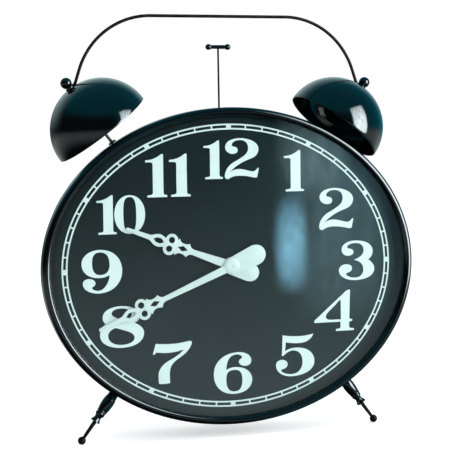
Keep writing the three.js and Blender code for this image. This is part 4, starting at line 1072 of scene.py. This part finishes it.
# ------------------------------------------------------------------ washer, circuit board and cell
# A rubber washer under the bush, a small green circuit board for the crystal, and one dry cell in its
# printed sleeve with a bright terminal at the end.
RUBBER = (0.012, 0.012, 0.012, 1)
RUBBER_BLOOM = (0.04, 0.04, 0.038, 1)
BOARD = (0.012, 0.075, 0.025, 1)
BOARD_TRACK = (0.03, 0.15, 0.05, 1)
SLEEVE_GREY = (0.04, 0.05, 0.06, 1)
SLEEVE_COPPER = (0.42, 0.2, 0.07, 1)


def washer_rubber(shade):
    place = shade.place()
    bloom = place.noise(300, 5, 0.7).between(0.45, 0.8)
    return shade.principled(
        Base_Color=bloom.mix(RUBBER, RUBBER_BLOOM),
        Roughness=0.8 + bloom * 0.12,
        Normal=place.noise(1500, 3).bump(0.00004),
    )


def board_lacquer(shade):
    place = shade.place()
    lines = place.stretched(1, 1, 0.1).noise(700, 0).between(0.55, 0.57)
    return shade.principled(
        Base_Color=lines.mix(BOARD, BOARD_TRACK),
        Roughness=0.34 + lines * 0.1,
        Normal=lines.bump(0.00004),
    )


def cell_sleeve(shade):
    place = shade.place()
    copper = place.part("X").between(0.0118, 0.0122)
    scuffed = place.noise(400, 4, 0.6).between(0.5, 0.8)
    return shade.principled(
        Base_Color=copper.mix(SLEEVE_GREY, SLEEVE_COPPER),
        Metallic=0.4,
        Roughness=0.3 + scuffed * 0.2,
        Normal=place.noise(900, 2).bump(0.00001),
    )


dressed(material("washer_rubber", washer_rubber), ["rubber_washer"])
dressed(material("board_lacquer", board_lacquer), ["circuit_board"])
dressed(material("cell_sleeve", cell_sleeve), ["battery_cell"])

# ------------------------------------------------------------------ studio
# A plain pale floor under a white dome. Neither shows in the gloss, which reflects a dim teal room, a
# tall window at the right, and soft cards that stand in front of the clock and beside it.
DOME_RADIUS = 9.0
FLOOR_WIDTH = 17.8
FLOOR_GAP = 0.4 * MM
ROOM_DARK = (0.008, 0.016, 0.02, 1)
ROOM_TEAL = (0.012, 0.3, 0.42, 1)
ROOM_LOW = (0.56, 0.62, 0.62, 1)
ROOM_BEHIND = (0.8, 1.1, 1.15, 1)
FLOOR_GLOW = 0.45
DOME_GLOW = 1.02
FLOOR_PALE = (0.85, 0.86, 0.86, 1)
FLOOR_SHADED = (0.8, 0.81, 0.81, 1)
WHITE = (1, 1, 1, 1)
WINDOW_WHITE = (0.85, 0.97, 1)
GLOW_BLUE = (0.36, 0.72, 0.95)
GLOW_PALE = (0.55, 0.85, 1)
GLOW_GREY = (0.65, 0.85, 0.9)
KEY_WHITE = (0.93, 0.98, 1)
DOME_STEPS = 24


def stage_piece(name, mesh, finish):
    """A floor, backdrop or card, which the gloss doesn't reflect until it is told to."""
    obj = new_object(name, mesh)
    obj.data.materials.append(finish)
    obj.visible_glossy = False
    return obj


def flat_sheet(name, width, height, z=0):
    corners = [(x * width / 2, y * height / 2, z) for x, y in ((-1, -1), (1, -1), (1, 1), (-1, 1))]
    mesh = bpy.data.meshes.new(name)
    mesh.from_pydata(corners, [], [(0, 1, 2, 3)])
    return mesh


def floor_paint(shade):
    cloudy = shade.place().noise(2, 2).between(0.3, 0.7)
    return shade.principled(
        Base_Color=cloudy.mix(FLOOR_PALE, FLOOR_SHADED),
        Roughness=0.9,
        Emission_Color=WHITE,
        Emission_Strength=FLOOR_GLOW,
    )


def dome_light(shade):
    return shade.node("ShaderNodeEmission", links={"Color": WHITE, "Strength": DOME_GLOW})


floor_mesh = flat_sheet("floor", FLOOR_WIDTH, FLOOR_WIDTH, cad_box[0][2] - FLOOR_GAP)
stage_piece("floor", floor_mesh, material("floor_paint", floor_paint))
dome_turns = [math.pi * i / DOME_STEPS for i in range(DOME_STEPS + 1)]
dome_line = [Vector((math.sin(t), math.cos(t))) * DOME_RADIUS for t in dome_turns]
dome_mesh = turned("dome", dome_line, Matrix.Identity(4), 2 * DOME_STEPS)
dome = stage_piece("dome", dome_mesh, material("dome_light", dome_light))
dome.visible_shadow = False

# The room is dark ahead, teal above and at the right, pale low down, and brightest behind the clock.
world = bpy.data.worlds.new("room")
bpy.context.scene.world = world
world.use_nodes = True
world.node_tree.nodes.clear()
room = Shade(world.node_tree)
toward = room.node("ShaderNodeTexCoord", out="Generated")
low_room = toward.part("Z").between(0.02, -0.2) * toward.part("Z").between(-0.6, -0.25)
behind = toward.part("Y").between(0.35, 0.98) * toward.part("Z").between(-0.1, 0.45)
teal = (toward.part("X").between(0.22, 0.6) + toward.part("Z").between(0.2, 0.75)).between(0, 1)
walls = low_room.mix(teal.mix(ROOM_DARK, ROOM_TEAL), ROOM_LOW)
room_colour = behind.mix(walls, ROOM_BEHIND)
background = room.node("ShaderNodeBackground", links={"Color": room_colour, "Strength": 1})
world_output = world.node_tree.nodes.new("ShaderNodeOutputWorld")
world.node_tree.links.new(background.socket, world_output.inputs["Surface"])


def soft_card(name, place, aim, size, strength, colour, falloff):
    """A glowing card with soft edges that looks at its aim. Only gloss sees it.

    The larger the falloff, the softer the edges. Each card is brighter towards its foot.
    """

    width, height = size

    def glow(shade):
        spot = shade.place()
        across = 1 - (spot.part("X") * (2 / width)) ** 2
        along = 1 - (spot.part("Y") * (2 / height)) ** 2
        core = (across * along).between(0, 1) ** falloff
        streaks = spot.stretched(1, 0.35, 1).noise(9 / width, 4, 0.6).between(0.3, 0.7)
        brighter_low = 0.85 - spot.part("Y") * (0.7 / height)
        level = core * (0.5 + streaks * 0.5) * brighter_low
        tinted = shade.node("ShaderNodeVectorMath", {"operation": "SCALE"}, {0: colour, "Scale": level})
        light = shade.node("ShaderNodeEmission", links={"Color": tinted, "Strength": strength})
        clear = shade.node("ShaderNodeBsdfTransparent")
        return shade.node("ShaderNodeAddShader", links={0: clear, 1: light})

    obj = stage_piece(name, flat_sheet(name, width, height), material(name, glow))
    obj.location = place
    obj.rotation_euler = (Vector(aim) - Vector(place)).to_track_quat("Z", "Y").to_euler()
    obj.visible_glossy = True
    obj.visible_camera = False
    obj.visible_diffuse = False
    obj.visible_shadow = False


def soft_light(place, aim, size, watts, colour):
    """A rectangular soft box that looks at its aim. The camera doesn't see it."""
    light = bpy.data.lights.new("key_light", "AREA")
    light.shape = "RECTANGLE"
    light.size, light.size_y = size
    light.energy = watts
    light.color = colour
    obj = new_object("key_light", light)
    obj.location = place
    obj.rotation_euler = (Vector(aim) - Vector(place)).to_track_quat("-Z", "Y").to_euler()
    obj.visible_camera = False
    return obj


right_bell = (0.19, 0, 0.55)
dial_right = (0.2, 0, 0.3)
key_light = soft_light((1.75, -2.35, 1.05), (0.19, 0, 0.45), size=(1.0, 1.5), watts=33, colour=KEY_WHITE)
key_light.visible_glossy = False
CARDS = (
    ("window_right", (2.09, -1.96, 1.11), right_bell, (1.85, 2.7), 27, WINDOW_WHITE, 0.15),
    ("card_front", (1.167, -3.0, 0.1), (0.075, 0, 0.31), (0.15, 0.44), 9.5, GLOW_BLUE, 1.7),
    ("card_right", (1.36, -3.0, 0.2), dial_right, (0.42, 0.9), 1.3, GLOW_PALE, 1),
    ("card_cloud", (1.26, -3.0, 0.44), dial_right, (0.32, 0.4), 1.6, GLOW_GREY, 1),
)
for name, place, aim, size, strength, colour, falloff in CARDS:
    soft_card(name, place, aim, size, strength, colour, falloff)

# The camera looks at the middle of the clock from its left, a little above the dial's middle, and is
# tipped by a degree.
AZIMUTH = math.radians(-17.55)
ELEVATION = math.radians(3.01)
ROLL = math.radians(0.99)
DISTANCE = 2.3251
LENS = 118.54
FAR_CLIP = 30
middle = (Vector(cad_box[0]) + Vector(cad_box[1])) / 2
AIM_LEFT = 5.2 * MM
AIM_LOW = 3.7 * MM
aim = Vector((middle.x - AIM_LEFT, dial_low.y, middle.z - AIM_LOW))
level = math.cos(ELEVATION)
forward = Vector((-math.sin(AZIMUTH) * level, math.cos(AZIMUTH) * level, -math.sin(ELEVATION)))
camera_data = bpy.data.cameras.new("camera")
camera_data.lens = LENS
camera_data.clip_end = FAR_CLIP
camera = new_object("camera", camera_data)
look = Matrix.Rotation(ROLL, 4, forward) @ forward.to_track_quat("-Z", "Y").to_matrix().to_4x4()
camera.matrix_world = Matrix.Translation(aim - forward * DISTANCE) @ look
bpy.context.scene.camera = camera
bpy.context.scene.view_settings.view_transform = "Standard"
